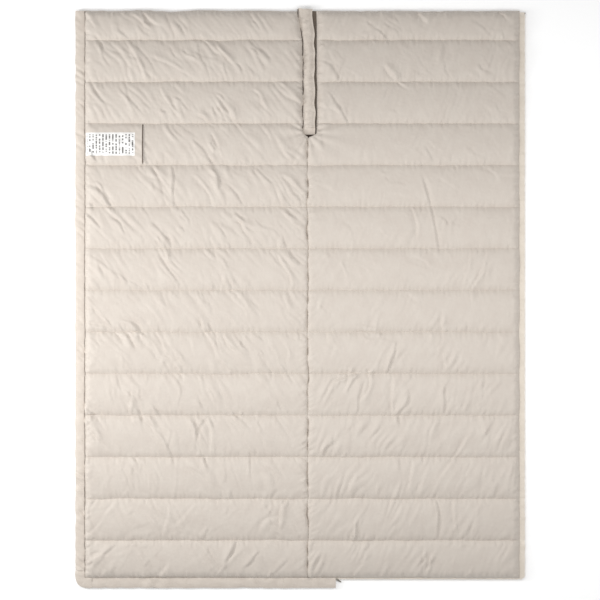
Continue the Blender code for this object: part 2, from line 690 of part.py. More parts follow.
def add_slider(quilt, zip_name, centre, heading, pull_turn, parent):
    """Slider on its coil and the pull hanging on the slider's bail."""
    turn = Matrix.Rotation(heading, 4, "Z")
    quilt.axis(f"{zip_name}_slider_axis", centre, parent)
    body = slider_mesh()
    body.transform(Matrix.Translation(centre) @ turn)
    quilt.add(f"{zip_name}_slider", body, "metal", f"{zip_name}_slider_axis")

    under = -(CHANNEL + SLIDER_WALL)
    free_height = BAIL_DROP - BAIL_RADIUS
    eye = turn @ Vector((BAIL_HALF_SPAN * 0.4, 0.0, under - free_height / 2))
    place = centre + eye
    quilt.axis(f"{zip_name}_pull_axis", place, f"{zip_name}_slider_axis")
    pull = pull_mesh()
    pull.transform(Matrix.Translation(place) @ turn @ Matrix.Rotation(pull_turn, 4, "Z"))
    quilt.add(f"{zip_name}_pull", pull, "metal", f"{zip_name}_pull_axis")


# ---------------------------------------------------------------- assembly
def main():
    clear_scene()
    quilt = Quilt()
    quilt.axis("fold_axis", (FOLD_X, 0.0, FOLD_AXIS_HEIGHT))
    add_half(quilt, "left")
    add_half(quilt, "right", "fold_axis")
    add_pocket(quilt)
    add_draft_flaps(quilt)
    add_slit_flap(quilt)
    add_slit_flap_seam(quilt)
    add_main_zip(quilt)
    add_slit_zip(quilt)


main()
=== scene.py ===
"""Down camp quilt, opened flat with its lining up, built round its CAD frame.

Each half's lining and shell are cloth, relaxed over the down on a fine grid with the spare
fabric that its seams gather. Threads and zip coils repeat along paths read from that cloth.
"""
import math

import bpy
import numpy as np
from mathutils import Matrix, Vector


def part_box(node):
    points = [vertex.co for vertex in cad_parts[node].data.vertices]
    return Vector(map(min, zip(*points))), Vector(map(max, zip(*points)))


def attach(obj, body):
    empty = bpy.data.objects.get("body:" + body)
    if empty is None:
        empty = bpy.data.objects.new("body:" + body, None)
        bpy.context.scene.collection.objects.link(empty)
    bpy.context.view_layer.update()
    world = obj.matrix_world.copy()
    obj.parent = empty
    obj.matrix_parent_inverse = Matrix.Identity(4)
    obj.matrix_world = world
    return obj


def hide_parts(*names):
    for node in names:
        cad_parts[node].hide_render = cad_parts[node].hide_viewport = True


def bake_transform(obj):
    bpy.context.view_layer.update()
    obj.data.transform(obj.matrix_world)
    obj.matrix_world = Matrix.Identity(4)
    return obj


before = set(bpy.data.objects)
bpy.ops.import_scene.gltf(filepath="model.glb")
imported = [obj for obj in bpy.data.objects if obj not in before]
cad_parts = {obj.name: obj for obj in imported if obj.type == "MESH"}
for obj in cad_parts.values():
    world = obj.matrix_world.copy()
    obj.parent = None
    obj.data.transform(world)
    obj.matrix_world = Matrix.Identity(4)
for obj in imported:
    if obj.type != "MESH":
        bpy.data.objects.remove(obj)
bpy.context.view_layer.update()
MM = 0.001


# ---------------------------------------------------------------- places, all from the frame
def low(node):
    """Lowest corner of a CAD node."""
    return np.array(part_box(node)[0])


def high(node):
    """Highest corner of a CAD node."""
    return np.array(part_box(node)[1])


def chambers(side):
    """Down nodes of one half, from its head to its foot."""
    return sorted(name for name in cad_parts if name.startswith("down_fill_" + side))


LEFT = low("lining_left")[0]
RIGHT = high("lining_right")[0]
FOLD = (high("lining_left")[0] + low("lining_right")[0]) / 2
HEAD = high("lining_left")[1]
FOOT = low("lining_left")[1]
SEAMS = [(low(upper)[1] + high(lower)[1]) / 2
         for upper, lower in zip(chambers("left"), chambers("left")[1:])]
SEAMS = [HEAD] + SEAMS + [FOOT]

SLIT_END = low("slit_flap")[1]
SLIT_LEFT = low("slit_flap")[0]                  # the left half's edge along the slit
SLIT_RIGHT = high("slit_zip_tape_right")[0] - 6.0 * MM   # its tape tucks 6 mm under the hem
SLIT_TAPER = 15 * MM
SLIT_LEAN = 17 * MM                              # the sewn edge leans out by this at the head
FLARE_LENGTH = 115 * MM                          # length over which it does
HEM_TOP = high("quilting_stitches_left")[2] - 1.0 * MM
SEAM_JOIN = high("outer_shell_left")[2]          # where the shell's edge meets the lining's
FLAP_OUT = low("side_flap")[0]
FOOT_FLAP_OUT = low("foot_flap")[1]
FLAP_TOP = high("side_flap")[2]


# ---------------------------------------------------------------- numbers and noise
def smooth(t):
    """0 to 1 with level ends."""
    t = np.clip(t, 0.0, 1.0)
    return t * t * (3 - 2 * t)


def waves(x, y, length, seed, stretch=1.0, turn=0.0, count=18):
    """Random swell of about that wavelength, near -1 to 1; stretch draws it out along turn."""
    rng = np.random.default_rng(seed)
    u = math.cos(turn) * x + math.sin(turn) * y
    v = math.cos(turn) * y - math.sin(turn) * x
    out = np.zeros(np.broadcast(x, y).shape)
    for _ in range(count):
        angle = rng.uniform(0, 2 * math.pi)
        k = 2 * math.pi / (length * rng.uniform(0.7, 1.5))
        shift = rng.uniform(0, 2 * math.pi)
        out += np.cos(k * (math.cos(angle) * u / stretch + math.sin(angle) * v) + shift)
    return out / math.sqrt(count)


def sway(t, length, seed, **more):
    """Random swell along one line."""
    return waves(t, 0 * t, length, seed, **more)


def line_of(*parts):
    """Points from their coordinates, any of which may be one number."""
    return np.column_stack(np.broadcast_arrays(*parts))


def between(inner, outer, columns):
    """Plan grid from one edge's points to the other's, and each column's share of the way."""
    share = np.linspace(0, 1, columns)[None, :]
    x = inner[:, :1] * (1 - share) + outer[:, :1] * share
    y = inner[:, 1:] * (1 - share) + outer[:, 1:] * share
    return x, y, share


def along(a, b, step=3.2 * MM):
    """Even values from a to b."""
    return np.linspace(a, b, max(3, round(abs(b - a) / step)) + 1)


def curve_through(points, step):
    """Smooth plan curve through points, at about that step."""
    p = np.array(points, float)
    p = np.vstack([2 * p[0] - p[1], p, 2 * p[-1] - p[-2]])
    out = []
    for a, b, c, d in zip(p, p[1:], p[2:], p[3:]):
        n = max(2, int(np.linalg.norm(c - b) / step))
        t = np.linspace(0, 1, n, endpoint=False)[:, None]
        out.append(0.5 * (2 * b + (c - a) * t + (2 * a - 5 * b + 4 * c - d) * t ** 2
                          + (3 * b - a - 3 * c + d) * t ** 3))
    out.append(p[-2:-1])
    return np.vstack(out)


# ---------------------------------------------------------------- where the cloth is creased
# The long folds: half, depth and width in mm, then points as (baffle and part of it, part of the
# way from the centre seam to the side).
LONG_FOLDS = (
    ("left", 2.6, 6, (1.3, 0.72), (1.6, 0.60), (1.95, 0.48)),
    ("left", 2.8, 6, (2.1, 0.86), (2.5, 0.79), (2.9, 0.72)),
    ("left", -2.8, 6, (2.5, 0.43), (2.9, 0.34), (3.4, 0.27)),
    ("left", -3.0, 6, (4.2, 0.52), (4.7, 0.44), (5.2, 0.42)),
    ("left", 2.6, 6, (4.5, 0.99), (5.1, 0.88), (5.6, 0.78)),
    ("left", 2.8, 6, (6.1, 0.99), (6.5, 0.89), (6.9, 0.80)),
    ("left", -3.2, 6, (7.2, 0.99), (7.6, 0.93), (8.1, 0.84), (8.3, 0.74)),
    ("left", -2.8, 6, (7.6, 0.49), (8.2, 0.44), (8.7, 0.36)),
    ("left", -3.0, 6, (9.9, 0.43), (10.4, 0.49), (10.9, 0.50)),
    ("left", 3.0, 6, (11.8, 0.93), (12.3, 0.98), (12.9, 0.94)),
    ("right", -3.6, 5, (4.1, 0.53), (4.8, 0.57), (5.5, 0.60), (6.3, 0.63)),
    ("right", -2.6, 6, (4.9, 0.48), (5.4, 0.51), (5.9, 0.51)),
    ("right", -3.0, 7, (9.0, 0.40), (9.6, 0.39), (10.2, 0.40)),
    ("right", -3.6, 6, (10.4, 0.75), (10.9, 0.70), (11.6, 0.60)),
    ("right", -3.6, 6, (11.8, 0.59), (12.4, 0.62), (13.1, 0.61)),
    ("right", -2.6, 6, (11.7, 0.68), (12.3, 0.68), (13.0, 0.70)),
)


def long_folds(side):
    """The long folds of one half, in metres in the frame."""
    seams = np.array(SEAMS)
    out = []
    for half, depth, width, *points in LONG_FOLDS:
        if half != side:
            continue
        baffle, part = np.array(points).T
        y = np.interp(baffle, np.arange(len(seams)), seams)
        x = FOLD + part * ((LEFT if side == "left" else RIGHT) - FOLD)
        out.append((depth * MM, width * MM, np.column_stack([x, y])))
    return out


def drag(side, x, y):
    """Way that the cloth is pulled at a point, in degrees; its creases lie along it."""
    if side == "left":
        return -50 - 22 * smooth((-0.05 - y) / 0.5) - 62 * smooth((-0.55 - y) / 0.22)
    return -42 + 114 * smooth((0.15 - y) / 0.3 + (x - 0.38) / 0.25)


def slackness(side, x, y):
    """How loose the cloth lies; the right half's upper baffles are the smoothest."""
    patchy = 0.75 + 0.75 * waves(x, y, 0.15, 51 if side == "left" else 57)
    if side == "left":
        level = 1.0 + 0 * x
    else:
        level = 0.42 + 0.5 * smooth((0.1 - y) / 0.5) + 0.35 * smooth((y - 0.55) / 0.2)
    return np.clip(patchy, 0.25, 1.6) * level


def short_folds(side):
    """Seeded folds between the long ones, along the drag; each has a steep and an easy side."""
    rng = np.random.default_rng(11 if side == "left" else 12)
    low_x, high_x = (LEFT, FOLD) if side == "left" else (FOLD, RIGHT)
    out = []
    for number in range(520 if side == "left" else 330):
        x = rng.uniform(low_x, high_x)
        y = rng.uniform(FOOT, HEAD)
        lean = math.radians(drag(side, x, y) + rng.normal(0, 12))
        long = number % 2 == 0
        length = (rng.uniform(70, 170) if long else rng.uniform(28, 75)) * MM
        bow = rng.normal(0, 0.07) * length
        sway = rng.normal(0, 0.03) * length
        dx, dy = math.cos(lean), math.sin(lean)
        along_line = np.array([-0.5, -0.17, 0.17, 0.5]) * length
        off = np.array([0.0, bow + sway, bow - sway, 0.0])
        points = np.column_stack([x + dx * along_line - dy * off, y + dy * along_line + dx * off])
        depth = (0.8 + 3.0 * rng.uniform() ** 1.5) * (1.2 if long else 0.85) * MM
        width = rng.uniform(4.0, 7.5) * MM * (1.2 if long else 0.9)
        depth *= float(slackness(side, np.array(x), np.array(y)))
        out.append((depth, width, points))
    return out


EASY_SIDE, STEEP_SIDE = 1.7, 0.65      # a fold's reach to each side, in its own widths
HOLLOW = (0.55, 1.15, 0.7)             # beside the steep side: depth, place and width


def crease_relief(x, y, creases):
    """Height that the folds add: each rises gently on one side and drops steeply on the other."""
    out = np.zeros(x.shape)
    for number, (depth, width, points) in enumerate(creases):
        path = curve_through(points, 3 * MM)
        reach = 4.5 * width
        near = ((x > path[:, 0].min() - reach) & (x < path[:, 0].max() + reach)
                & (y > path[:, 1].min() - reach) & (y < path[:, 1].max() + reach))
        if not near.any():
            continue
        px, py = x[near], y[near]
        gap = np.hypot(px[:, None] - path[:, 0], py[:, None] - path[:, 1])
        nearest = gap.argmin(1)
        ahead = np.gradient(path, axis=0)[nearest]
        ahead /= np.linalg.norm(ahead, axis=1)[:, None]
        off = path[nearest]
        across = ahead[:, 0] * (py - off[:, 1]) - ahead[:, 1] * (px - off[:, 0])
        beyond = np.abs(ahead[:, 0] * (px - off[:, 0]) + ahead[:, 1] * (py - off[:, 1]))
        t = nearest / max(len(path) - 1, 1)
        w = width * (0.9 + 0.25 * np.sin(9 * t + 2.1 * number))
        fade = smooth(t / 0.22) * smooth((1 - t) / 0.35) * np.exp(-(beyond / w) ** 2)
        d = (1 if number % 4 else -1) * across / w
        ridge = np.exp(-(d / np.where(d < 0, EASY_SIDE, STEEP_SIDE)) ** 2)
        hollow = HOLLOW[0] * np.exp(-((d - HOLLOW[1]) / HOLLOW[2]) ** 2)
        out[near] += depth * (ridge - hollow) * fade
    return out


def crumple(side, x, y):
    """Broad soft rumples drawn out along the drag, with sharp valleys between round swells."""
    turn = math.radians(-54 if side == "left" else 62)
    bend_x = x + 6 * MM * waves(x, y, 0.13, 61)
    bend_y = y + 6 * MM * waves(x, y, 0.13, 62)
    broad = waves(bend_x, bend_y, 38 * MM, 63, stretch=4.5, turn=turn, count=30)
    narrow = waves(bend_x, bend_y, 20 * MM, 64, stretch=5.0, turn=turn, count=36)
    swell = np.sqrt(broad ** 2 + 0.03) - 0.55
    return MM * (1.7 * swell + 0.5 * narrow) * slackness(side, x, y)


# ---------------------------------------------------------------- the cloth's grid and its rest shape
def fold_wobble(y):
    """How far the centre seam strays sideways."""
    stray = 1.7 * sway(y, 0.10, 21) + 0.7 * sway(y, 0.032, 26)
    return MM * stray * smooth((y - FOOT) / 0.04)


def seam_stray(number, x):
    """How far a baffle seam strays along the quilt; number 0 is the head edge, which strays more."""
    reach, length = (0.96, 0.16) if number else (1.56, 0.20)
    return MM * (reach * sway(x, length, 31 + number) + 0.6 * sway(x, 0.035, 131 + number))


def graded(length, step, close, both_ends):
    """Shares 0 to 1 at about that step, with lines at the close distances from an end."""
    close = [c / length for c in close if c < step * 3]
    start, end = close[-1], 1 - (close[-1] if both_ends else 0)
    count = max(4, round((end - start) * length / step))
    middle = np.linspace(start, end, count + 1)
    tail = [1 - c for c in close[::-1][1:]] + [1.0] if both_ends else []
    return np.array([0.0] + close[:-1] + list(middle) + tail)


def slit_flare(y):
    """How far the slit's sewn edge and its flap lean out towards the head, 0 to 1."""
    return smooth((y - HEAD + FLARE_LENGTH) / FLARE_LENGTH) ** 1.2


def cloth_grid(side, step):
    """Plan of one half: x, y, share of the way through its baffle, and the seams' rows."""
    rows, share, seam_rows = [0.0], [0.0], [0]
    for n, (upper, lower) in enumerate(zip(SEAMS, SEAMS[1:])):
        t = graded(upper - lower, step, (1.5 * MM, 3.2 * MM), both_ends=True)[1:]
        rows += list(n + t)
        share += list(t)
        seam_rows.append(len(rows) - 1)
    rows = np.array(rows)
    level = np.interp(rows, np.arange(len(SEAMS)), SEAMS)
    open_slit = smooth((level - SLIT_END + SLIT_TAPER) / SLIT_TAPER)
    middle = FOLD + fold_wobble(level) * (1 - open_slit)
    if side == "left":
        start = LEFT + 0.8 * MM * sway(level, 0.13, 22)
        end = middle - 0.15 * MM + (SLIT_LEFT - FOLD) * open_slit
        end = end + 1.4 * MM * sway(level, 0.05, 23) * open_slit
        end = end - SLIT_LEAN * slit_flare(level)
    else:
        start = middle + 0.15 * MM + (SLIT_RIGHT - FOLD) * open_slit
        start = start + 1.0 * MM * sway(level, 0.09, 24) * open_slit
        end = RIGHT + 1.0 * MM * sway(level, 0.12, 25)
    wide = FOLD - LEFT if side == "left" else RIGHT - FOLD
    across = graded(wide, step, (1.1 * MM, 2.3 * MM, 3.8 * MM, 5.8 * MM), both_ends=False)
    if side == "left":
        across = (1 - across)[::-1]
    x = start[:, None] + (end - start)[:, None] * across
    stray = np.array([seam_stray(n, x[0]) for n in range(len(SEAMS))])
    base = np.minimum(rows.astype(int), len(SEAMS) - 2)
    part = (rows - base)[:, None]
    y = level[:, None] + stray[base] * (1 - part) + stray[base + 1] * part
    return x, y, np.array(share), np.array(seam_rows)


SEAM_Z = 21.5 * MM         # the lining at an inner seam, with the down caught in it
TALL_FOLD = 32.5 * MM      # folds that stand above this lie over
FOLD_REST = 3.5 * MM       # the most that they still stand above it
SOFT_CREST = 29.5 * MM     # the lining's mean crest; its creases stand higher, up to the CAD's


def seam_distance(y):
    """Distance to the nearest baffle seam."""
    return np.min([np.abs(y - s) for s in SEAMS], axis=0)


def sewn_distance(x, y):
    """Distance to the nearest baffle seam or side edge of a half's grid."""
    return np.min([seam_distance(y), x - x[:, :1], x[:, -1:] - x], axis=0)


def drawn_in(gap, reach):
    """0 at a seam, 1 at that reach from it, and less again further off."""
    return gap / reach * np.exp(1 - gap / reach)


def lining_shape(side, x, y, share):
    """Height of the lining over its down before the cloth settles."""
    arch = (4 * share * (1 - share))[:, None]
    inner, outer = ((x[:, -1:] - x, x - x[:, :1]) if side == "left"
                    else (x - x[:, :1], x[:, -1:] - x))
    gap = seam_distance(y)
    open_slit = smooth((y - SLIT_END) / SLIT_TAPER)
    slit_rise = np.sin(np.clip(inner / (28 * MM), 0, 1) * math.pi / 2)
    outer_rise = np.sin(np.clip(outer / (24 * MM), 0, 1) * math.pi / 2) ** 0.8
    ends = smooth(np.minimum(HEAD - y, y - FOOT) / (9 * MM))
    base = HEM_TOP + (SEAM_Z - HEM_TOP) * smooth(outer / (14 * MM)) * ends * (
        open_slit * smooth(inner / (12 * MM)) + 1 - open_slit)
    full = 1 + 0.10 * waves(x, y, 0.22, 41)
    rise = outer_rise * (open_slit * slit_rise + 1 - open_slit)
    z = base + (SOFT_CREST - SEAM_Z) * arch * full * rise
    edge = np.minimum(outer, inner)
    inside = smooth(np.minimum(gap, edge) / (6 * MM))
    # the folds carry on over the seams, pressed flatter there
    over_seam = 0.35 + 0.65 * smooth(gap / (7 * MM))
    hold = smooth(outer / (9 * MM)) * smooth(inner / (5 * MM)) * ends
    relief = crease_relief(x, y, long_folds(side) + short_folds(side))
    z = z + (relief + crumple(side, x, y)) * over_seam * hold
    # the row of stitches draws in a narrow groove, puckered as the thread tightens
    pucker = 0.75 + 0.5 * sway(x, 13 * MM, 42, count=24)
    z = z - 0.85 * MM * np.clip(pucker, 0.1, 1.6) * np.exp(-(gap / (2.6 * MM)) ** 2) * rise
    gather = waves(x, y * 0.25, 14 * MM, 43, count=24)
    z = z + 0.75 * MM * gather * drawn_in(gap, 6 * MM) * hold
    long_gather = waves(x - 0.5 * (y if side == "left" else -y), y * 0.12, 30 * MM, 44)
    z = z + 0.55 * MM * long_gather * np.exp(-gap / (30 * MM)) * inside
    # the centre seam lies deep and narrow between the bulging halves
    uneven = np.clip(0.8 + 0.6 * sway(y, 32 * MM, 45), 0.25, 1.5)
    deep = (4.5 + 2.5 * arch) * uneven * MM
    z = z - deep * np.exp(-(inner / (2.2 * MM)) ** 1.5) * (1 - open_slit)
    side_gather = waves(y - 0.5 * x, x * 0.25, 17 * MM, 46)
    z = z + 1.5 * MM * side_gather * drawn_in(edge, 9 * MM) * inside
    # the cloth fans out from the end of the slit
    away = np.hypot(x - FOLD, y - SLIT_END)
    angle = np.arctan2(y - SLIT_END, x - FOLD)
    fan = np.sin(13 * angle + 1.3 * np.sin(3 * angle)) * np.exp(-away / (65 * MM))
    z = z + 4.2 * MM * fan * smooth(away / (30 * MM)) * smooth(edge / (3 * MM))
    z = z + 0.22 * MM * waves(x, y, 11 * MM, 47, count=36) * inside
    # the tallest folds flatten under their own weight
    over = np.clip(z - TALL_FOLD, 0, None)
    return z - over + FOLD_REST * np.tanh(over / FOLD_REST)


def shell_shape(side, x, y):
    """Height of the shell: flat on the floor, drawn up to its seams and edges."""
    gap = sewn_distance(x, y)
    curve = 1 - np.sqrt(1 - (1 - np.clip(gap / (26 * MM), 0, 1)) ** 2)
    # the other half's folds run on a little past the centre seam
    relief = crease_relief(x, y, short_folds("right" if side == "left" else "left"))
    ripple = 1.6 * MM * waves(x, y * 0.25, 15 * MM, 46) * drawn_in(gap, 6 * MM)
    z = (SEAM_JOIN - 0.4 * MM) * curve + 0.5 * MM + ripple * curve
    z = z - 0.6 * relief * smooth(gap / (9 * MM))
    return np.clip(z, 0.3 * MM, SEAM_JOIN)


# ---------------------------------------------------------------- cloth solver
def pull(points, weight, a, b, rest, stiffness):
    """Moves one set of separate pairs of points towards their rest length."""
    first, second = points[a], points[b]
    d = second - first
    length = np.sqrt(np.einsum("ijk,ijk->ij", d, d))
    share = weight[a] + weight[b]
    d *= (stiffness * (length - rest) / np.maximum(length, 1e-9)
          / np.maximum(share, 1e-9))[..., None]
    points[a] = first + d * weight[a][..., None]
    points[b] = second - d * weight[b][..., None]


def halves(size, start, gap):
    """Slices of every other run of points, and of the points a gap further on."""
    end = start + 2 * gap * len(range(start, size - gap, 2 * gap))
    return slice(start, end, 2 * gap), slice(start + gap, end + gap, 2 * gap)


def pairs(rows, columns):
    """Pairs of neighbours for stretch, shear and bending, split so that no point is in two."""
    whole = slice(None)
    for start in (0, 1):
        a, b = halves(columns, start, 1)
        yield "stretch", (whole, a), (whole, b)
        a, b = halves(rows, start, 1)
        yield "stretch", (a, whole), (b, whole)
        yield "shear", (a, slice(0, columns - 1)), (b, slice(1, columns))
        yield "shear", (a, slice(1, columns)), (b, slice(0, columns - 1))
    for start in range(4):
        a, b = halves(columns, start, 2)
        yield "bend", (whole, a), (whole, b)
        a, b = halves(rows, start, 2)
        yield "bend", (a, whole), (b, whole)


STIFFNESS = {"stretch": 1.0, "shear": 0.4, "bend": 0.03}
LOFT_PUSH = 6e-6           # lift that the down gives the cloth in each round
KEPT_SPEED = 0.9           # part of its motion that the cloth keeps in each round


def settle(start, fixed, spare, floor_z, roof_z, rounds):
    """Relaxes cloth that has a little spare length, between the down below and a loose roof."""
    points = start.astype(np.float32).copy()
    weight = np.where(fixed, 0.0, 1.0).astype(np.float32)
    links = []
    for kind, a, b in pairs(*fixed.shape):
        d = start[b] - start[a]
        length = np.linalg.norm(d, axis=-1)
        nx, ny = d[..., 0] / length, d[..., 1] / length
        sx, sy, sxy = (0.5 * (s[a] + s[b]) for s in spare)
        rest = length * (1 + sx * nx ** 2 + sy * ny ** 2 + 2 * sxy * nx * ny)
        links.append((a, b, rest.astype(np.float32), np.float32(STIFFNESS[kind])))
    before = points.copy()
    low_z, high_z = floor_z.astype(np.float32), roof_z.astype(np.float32)
    for _ in range(rounds):
        speed = (points - before) * np.float32(KEPT_SPEED)
        before = points.copy()
        speed[..., 2] += np.float32(LOFT_PUSH)
        points += speed * weight[..., None]
        for a, b, rest, stiffness in links:
            pull(points, weight, a, b, rest, stiffness)
        z = points[..., 2]
        points[..., 2] = np.where(fixed, z, np.clip(z, low_z, high_z))
    return points.astype(float)


def held(x, seam_rows):
    """Points that are sewn down: the seams' rows and both side edges."""
    fixed = np.zeros(x.shape, bool)
    fixed[seam_rows] = True
    fixed[:, [0, -1]] = True
    return fixed


def make_lining(side, step, rounds):
    """A half's lining, settled over its down."""
    x, y, share, seam_rows = cloth_grid(side, step)
    z = lining_shape(side, x, y, share)
    z[seam_rows] += (0.4 * MM * waves(x, y, 18 * MM, 48))[seam_rows]
    outer, inner = (0, -1) if side == "left" else (-1, 0)
    border = np.zeros(x.shape, bool)
    border[[0, -1]] = True
    border[:, outer] = True
    border[:, inner] = y[:, 0] > SLIT_END - SLIT_TAPER
    z[border] = SEAM_JOIN + 0.1 * MM
    start = np.dstack([x, y, z])
    lean = 0.010 if side == "left" else -0.004
    spare = (0.004 + 0.004 * waves(x, y, 0.18, 48), 0.003 + 0.003 * waves(x, y, 0.2, 49),
             lean + 0.004 * waves(x, y, 0.3, 50))
    points = settle(start, held(x, seam_rows), spare, z - 2.5 * MM, z + 3.5 * MM, rounds)
    return {"points": points, "plan": start[..., :2], "seam_rows": seam_rows}


def make_shell(side, step, rounds):
    """A half's shell, settled under its down and then laid on the floor."""
    x, y, _, seam_rows = cloth_grid(side, step)
    fixed = held(x, seam_rows)
    z = np.where(fixed, SEAM_JOIN - 0.1 * MM, shell_shape(side, x, y))
    start = np.dstack([x, y, z])
    spare = [np.full(x.shape, 0.003)] * 2 + [np.zeros(x.shape)]
    roof_z = np.minimum(z + 2 * MM, SEAM_JOIN)
    points = settle(start, fixed, spare, np.full(x.shape, 0.3 * MM), roof_z, rounds)
    dropped = points[..., 2] - 1.2 * MM * smooth(sewn_distance(x, y) / (12 * MM))
    points[..., 2] = np.where(fixed, points[..., 2], np.clip(dropped, 0.2 * MM, None))
    return {"points": points, "plan": start[..., :2], "seam_rows": seam_rows}


SIDES = ("left", "right")
ROUNDS = 140
LININGS = {side: make_lining(side, 4.1 * MM, ROUNDS) for side in SIDES}
SHELLS = {side: make_shell(side, 7.0 * MM, ROUNDS // 2) for side in SIDES}


def height_at(cloth, x, y):
    """Height of a settled cloth at plan points."""
    plan, z = cloth["plan"], cloth["points"][..., 2]
    rows, columns = z.shape
    middle = plan[:, columns // 2, 1]
    r = np.interp(-y, -middle, np.arange(rows))
    r0 = np.clip(r.astype(int), 0, rows - 2)
    start, end = plan[r0, 0, 0], plan[r0, -1, 0]
    c = np.clip((x - start) / (end - start), 0, 1) * (columns - 1)
    c0 = np.clip(c.astype(int), 0, columns - 2)
    fr, fc = r - r0, c - c0
    upper = z[r0, c0] * (1 - fc) + z[r0, c0 + 1] * fc
    lower = z[r0 + 1, c0] * (1 - fc) + z[r0 + 1, c0 + 1] * fc
    return upper * (1 - fr) + lower * fr


# ---------------------------------------------------------------- materials
def linear(code):
    """An sRGB hex value as linear RGBA."""
    parts = [int(code[i:i + 2], 16) / 255 for i in (1, 3, 5)]
    return tuple(c / 12.92 if c <= 0.04045 else ((c + 0.055) / 1.055) ** 2.4 for c in parts) + (1,)


def add(tree, kind, inputs=None, **settings):
    """Adds a node with its settings; an input is a value or another node's output."""
    node = tree.nodes.new(kind)
    for key, value in settings.items():
        setattr(node, key, value)
    for key, value in (inputs or {}).items():
        if isinstance(value, bpy.types.NodeSocket):
            tree.links.new(value, node.inputs[key])
        else:
            node.inputs[key].default_value = value
    return node


def new_material(name, code, roughness, on_cloth=False, **more):
    """A material, its shader and its place coordinates; more holds the shader's own constants."""
    material = bpy.data.materials.new(name)
    material.use_nodes = True
    material.diffuse_color = linear(code)
    tree = material.node_tree
    shader = tree.nodes["Principled BSDF"]
    shader.inputs["Base Color"].default_value = linear(code)
    shader.inputs["Roughness"].default_value = roughness
    for key, value in more.items():
        shader.inputs[key].default_value = value
    if on_cloth:
        where = add(tree, "ShaderNodeUVMap", uv_map="cloth").outputs["UV"]
    else:
        where = add(tree, "ShaderNodeTexCoord").outputs["Object"]
    return material, tree, shader, where


def paint(tree, shader, amount, pale, dark):
    """Gives a shader the colour between two hex values by amount."""
    mix = add(tree, "ShaderNodeMix", {"Factor": amount}, data_type="RGBA")
    mix.inputs[6].default_value = linear(dark)
    mix.inputs[7].default_value = linear(pale)
    tree.links.new(mix.outputs[2], shader.inputs["Base Color"])


def emboss(tree, shader, height, strength, depth, under=None):
    """Gives a shader that relief, over any coarser one, and returns its normal."""
    inputs = {"Height": height, "Strength": strength, "Distance": depth}
    if under is not None:
        inputs["Normal"] = under
    normal = add(tree, "ShaderNodeBump", inputs).outputs["Normal"]
    tree.links.new(normal, shader.inputs["Normal"])
    return normal


def noise(tree, where, size, **more):
    """Noise with features of that size."""
    return add(tree, "ShaderNodeTexNoise", {"Vector": where, "Scale": 1 / size, **more}).outputs["Fac"]


def spread(tree, value, start, end):
    """A value stretched so that start becomes 0 and end becomes 1."""
    return add(tree, "ShaderNodeMapRange",
               {"Value": value, "From Min": start, "From Max": end}).outputs["Result"]


def calculate(tree, operation, *values):
    """One step of arithmetic."""
    return add(tree, "ShaderNodeMath", dict(enumerate(values)), operation=operation).outputs[0]


def band(tree, where, axis, pitch):
    """Threads that run across that axis at that pitch."""
    return add(tree, "ShaderNodeTexWave", {"Vector": where, "Scale": math.pi / (10 * pitch),
                                           "Distortion": 0.15, "Detail": 1.0},
               bands_direction=axis).outputs["Fac"]


def woven(name, pale, dark, thread, depth, roughness, crinkle=0.35, on_cloth=True, sheen=0.0):
    """Plain weave: threads both ways, a slow change of tone, and fine crinkles pressed in."""
    material, tree, shader, where = new_material(
        name, pale, roughness, on_cloth, **{"Sheen Weight": sheen, "Sheen Roughness": 0.4})
    weave = calculate(tree, "MAXIMUM", band(tree, where, "X", thread), band(tree, where, "Y", thread))
    slub = noise(tree, where, 45 * MM, Detail=5.0, Roughness=0.6)
    creases = noise(tree, where, 14 * MM, Detail=4.0, Roughness=0.55, Distortion=0.8)
    paint(tree, shader, spread(tree, slub, 0.3, 0.7), pale, dark)
    emboss(tree, shader, weave, 0.18, depth, emboss(tree, shader, creases, crinkle, 2 * MM))
    return material


TAFFETA = (1.1 * MM, 0.06 * MM)    # thread pitch and depth
RIB = (1.4 * MM, 0.25 * MM)
# Downproof taffeta, woven of 20 denier nylon and calendered: close and matte with a faint
# sheen. Its 0.25 mm thread pitch is drawn at 1.1 mm, the finest that still reads.
LINING_CLOTH = woven("downproof taffeta lining", "#CFC6BC", "#CAC0B6", *TAFFETA, 0.62, sheen=0.25)
# The same taffeta in the shell's slightly deeper shade.
SHELL_CLOTH = woven("downproof taffeta shell", "#CFC4B8", "#C8BCB0", *TAFFETA, 0.6, sheen=0.25)
# Two layers of taffeta sewn and turned: a little stiffer, so it shows finer crinkles.
FLAP_CLOTH = woven("turned taffeta flap", "#D3C9BE", "#CBC0B5", *TAFFETA, 0.62, crinkle=0.6,
                   sheen=0.2)
# Polyester zip tape, woven in a 1.4 mm rib: plain, one in the slit and one along the right edge.
TAPE_CLOTH = woven("ribbed polyester zip tape", "#BDB1A4", "#B2A699", *RIB, 0.8, on_cloth=False)
# The slit's tape is painted dark: painted shade that stands in for the shadow deep in the slit.
SLIT_SHADE_TAPE = woven("ribbed polyester zip tape, painted slit shade", "#766A5E", "#695E53", *RIB, 0.8,
                  on_cloth=False)
# The right edge's strip is painted paler than its own tone, which is the lining's, a little warmer:
# painted light that offsets the shade that the right half's edge casts on it.
LIGHTENED_STRIP_TAPE = woven("ribbed polyester zip strip", "#EEE4D7", "#E4DACC", *RIB, 0.8, crinkle=0.8)
# Dark brown grosgrain that binds the pocket's mouth and pipes the slit; the same dark cloth also makes
# painted shade under the slit's end and in the side flap's join.
BINDING_AND_SHADE_CLOTH = woven("grosgrain binding, also painted shade", "#5D4E44", "#4E4138", 0.9 * MM, 0.15 * MM, 0.75,
                on_cloth=False)


def make_thread():
    """Spun polyester thread, three plies: the twist shows as a fine ripple."""
    material, tree, shader, where = new_material("spun polyester thread", "#B9AC9E", 0.7)
    twist = band(tree, where, "DIAGONAL", 1.2 * MM)
    emboss(tree, shader, twist, 0.4, 0.1 * MM)
    paint(tree, shader, twist, "#BDB0A3", "#A99C8E")
    return material


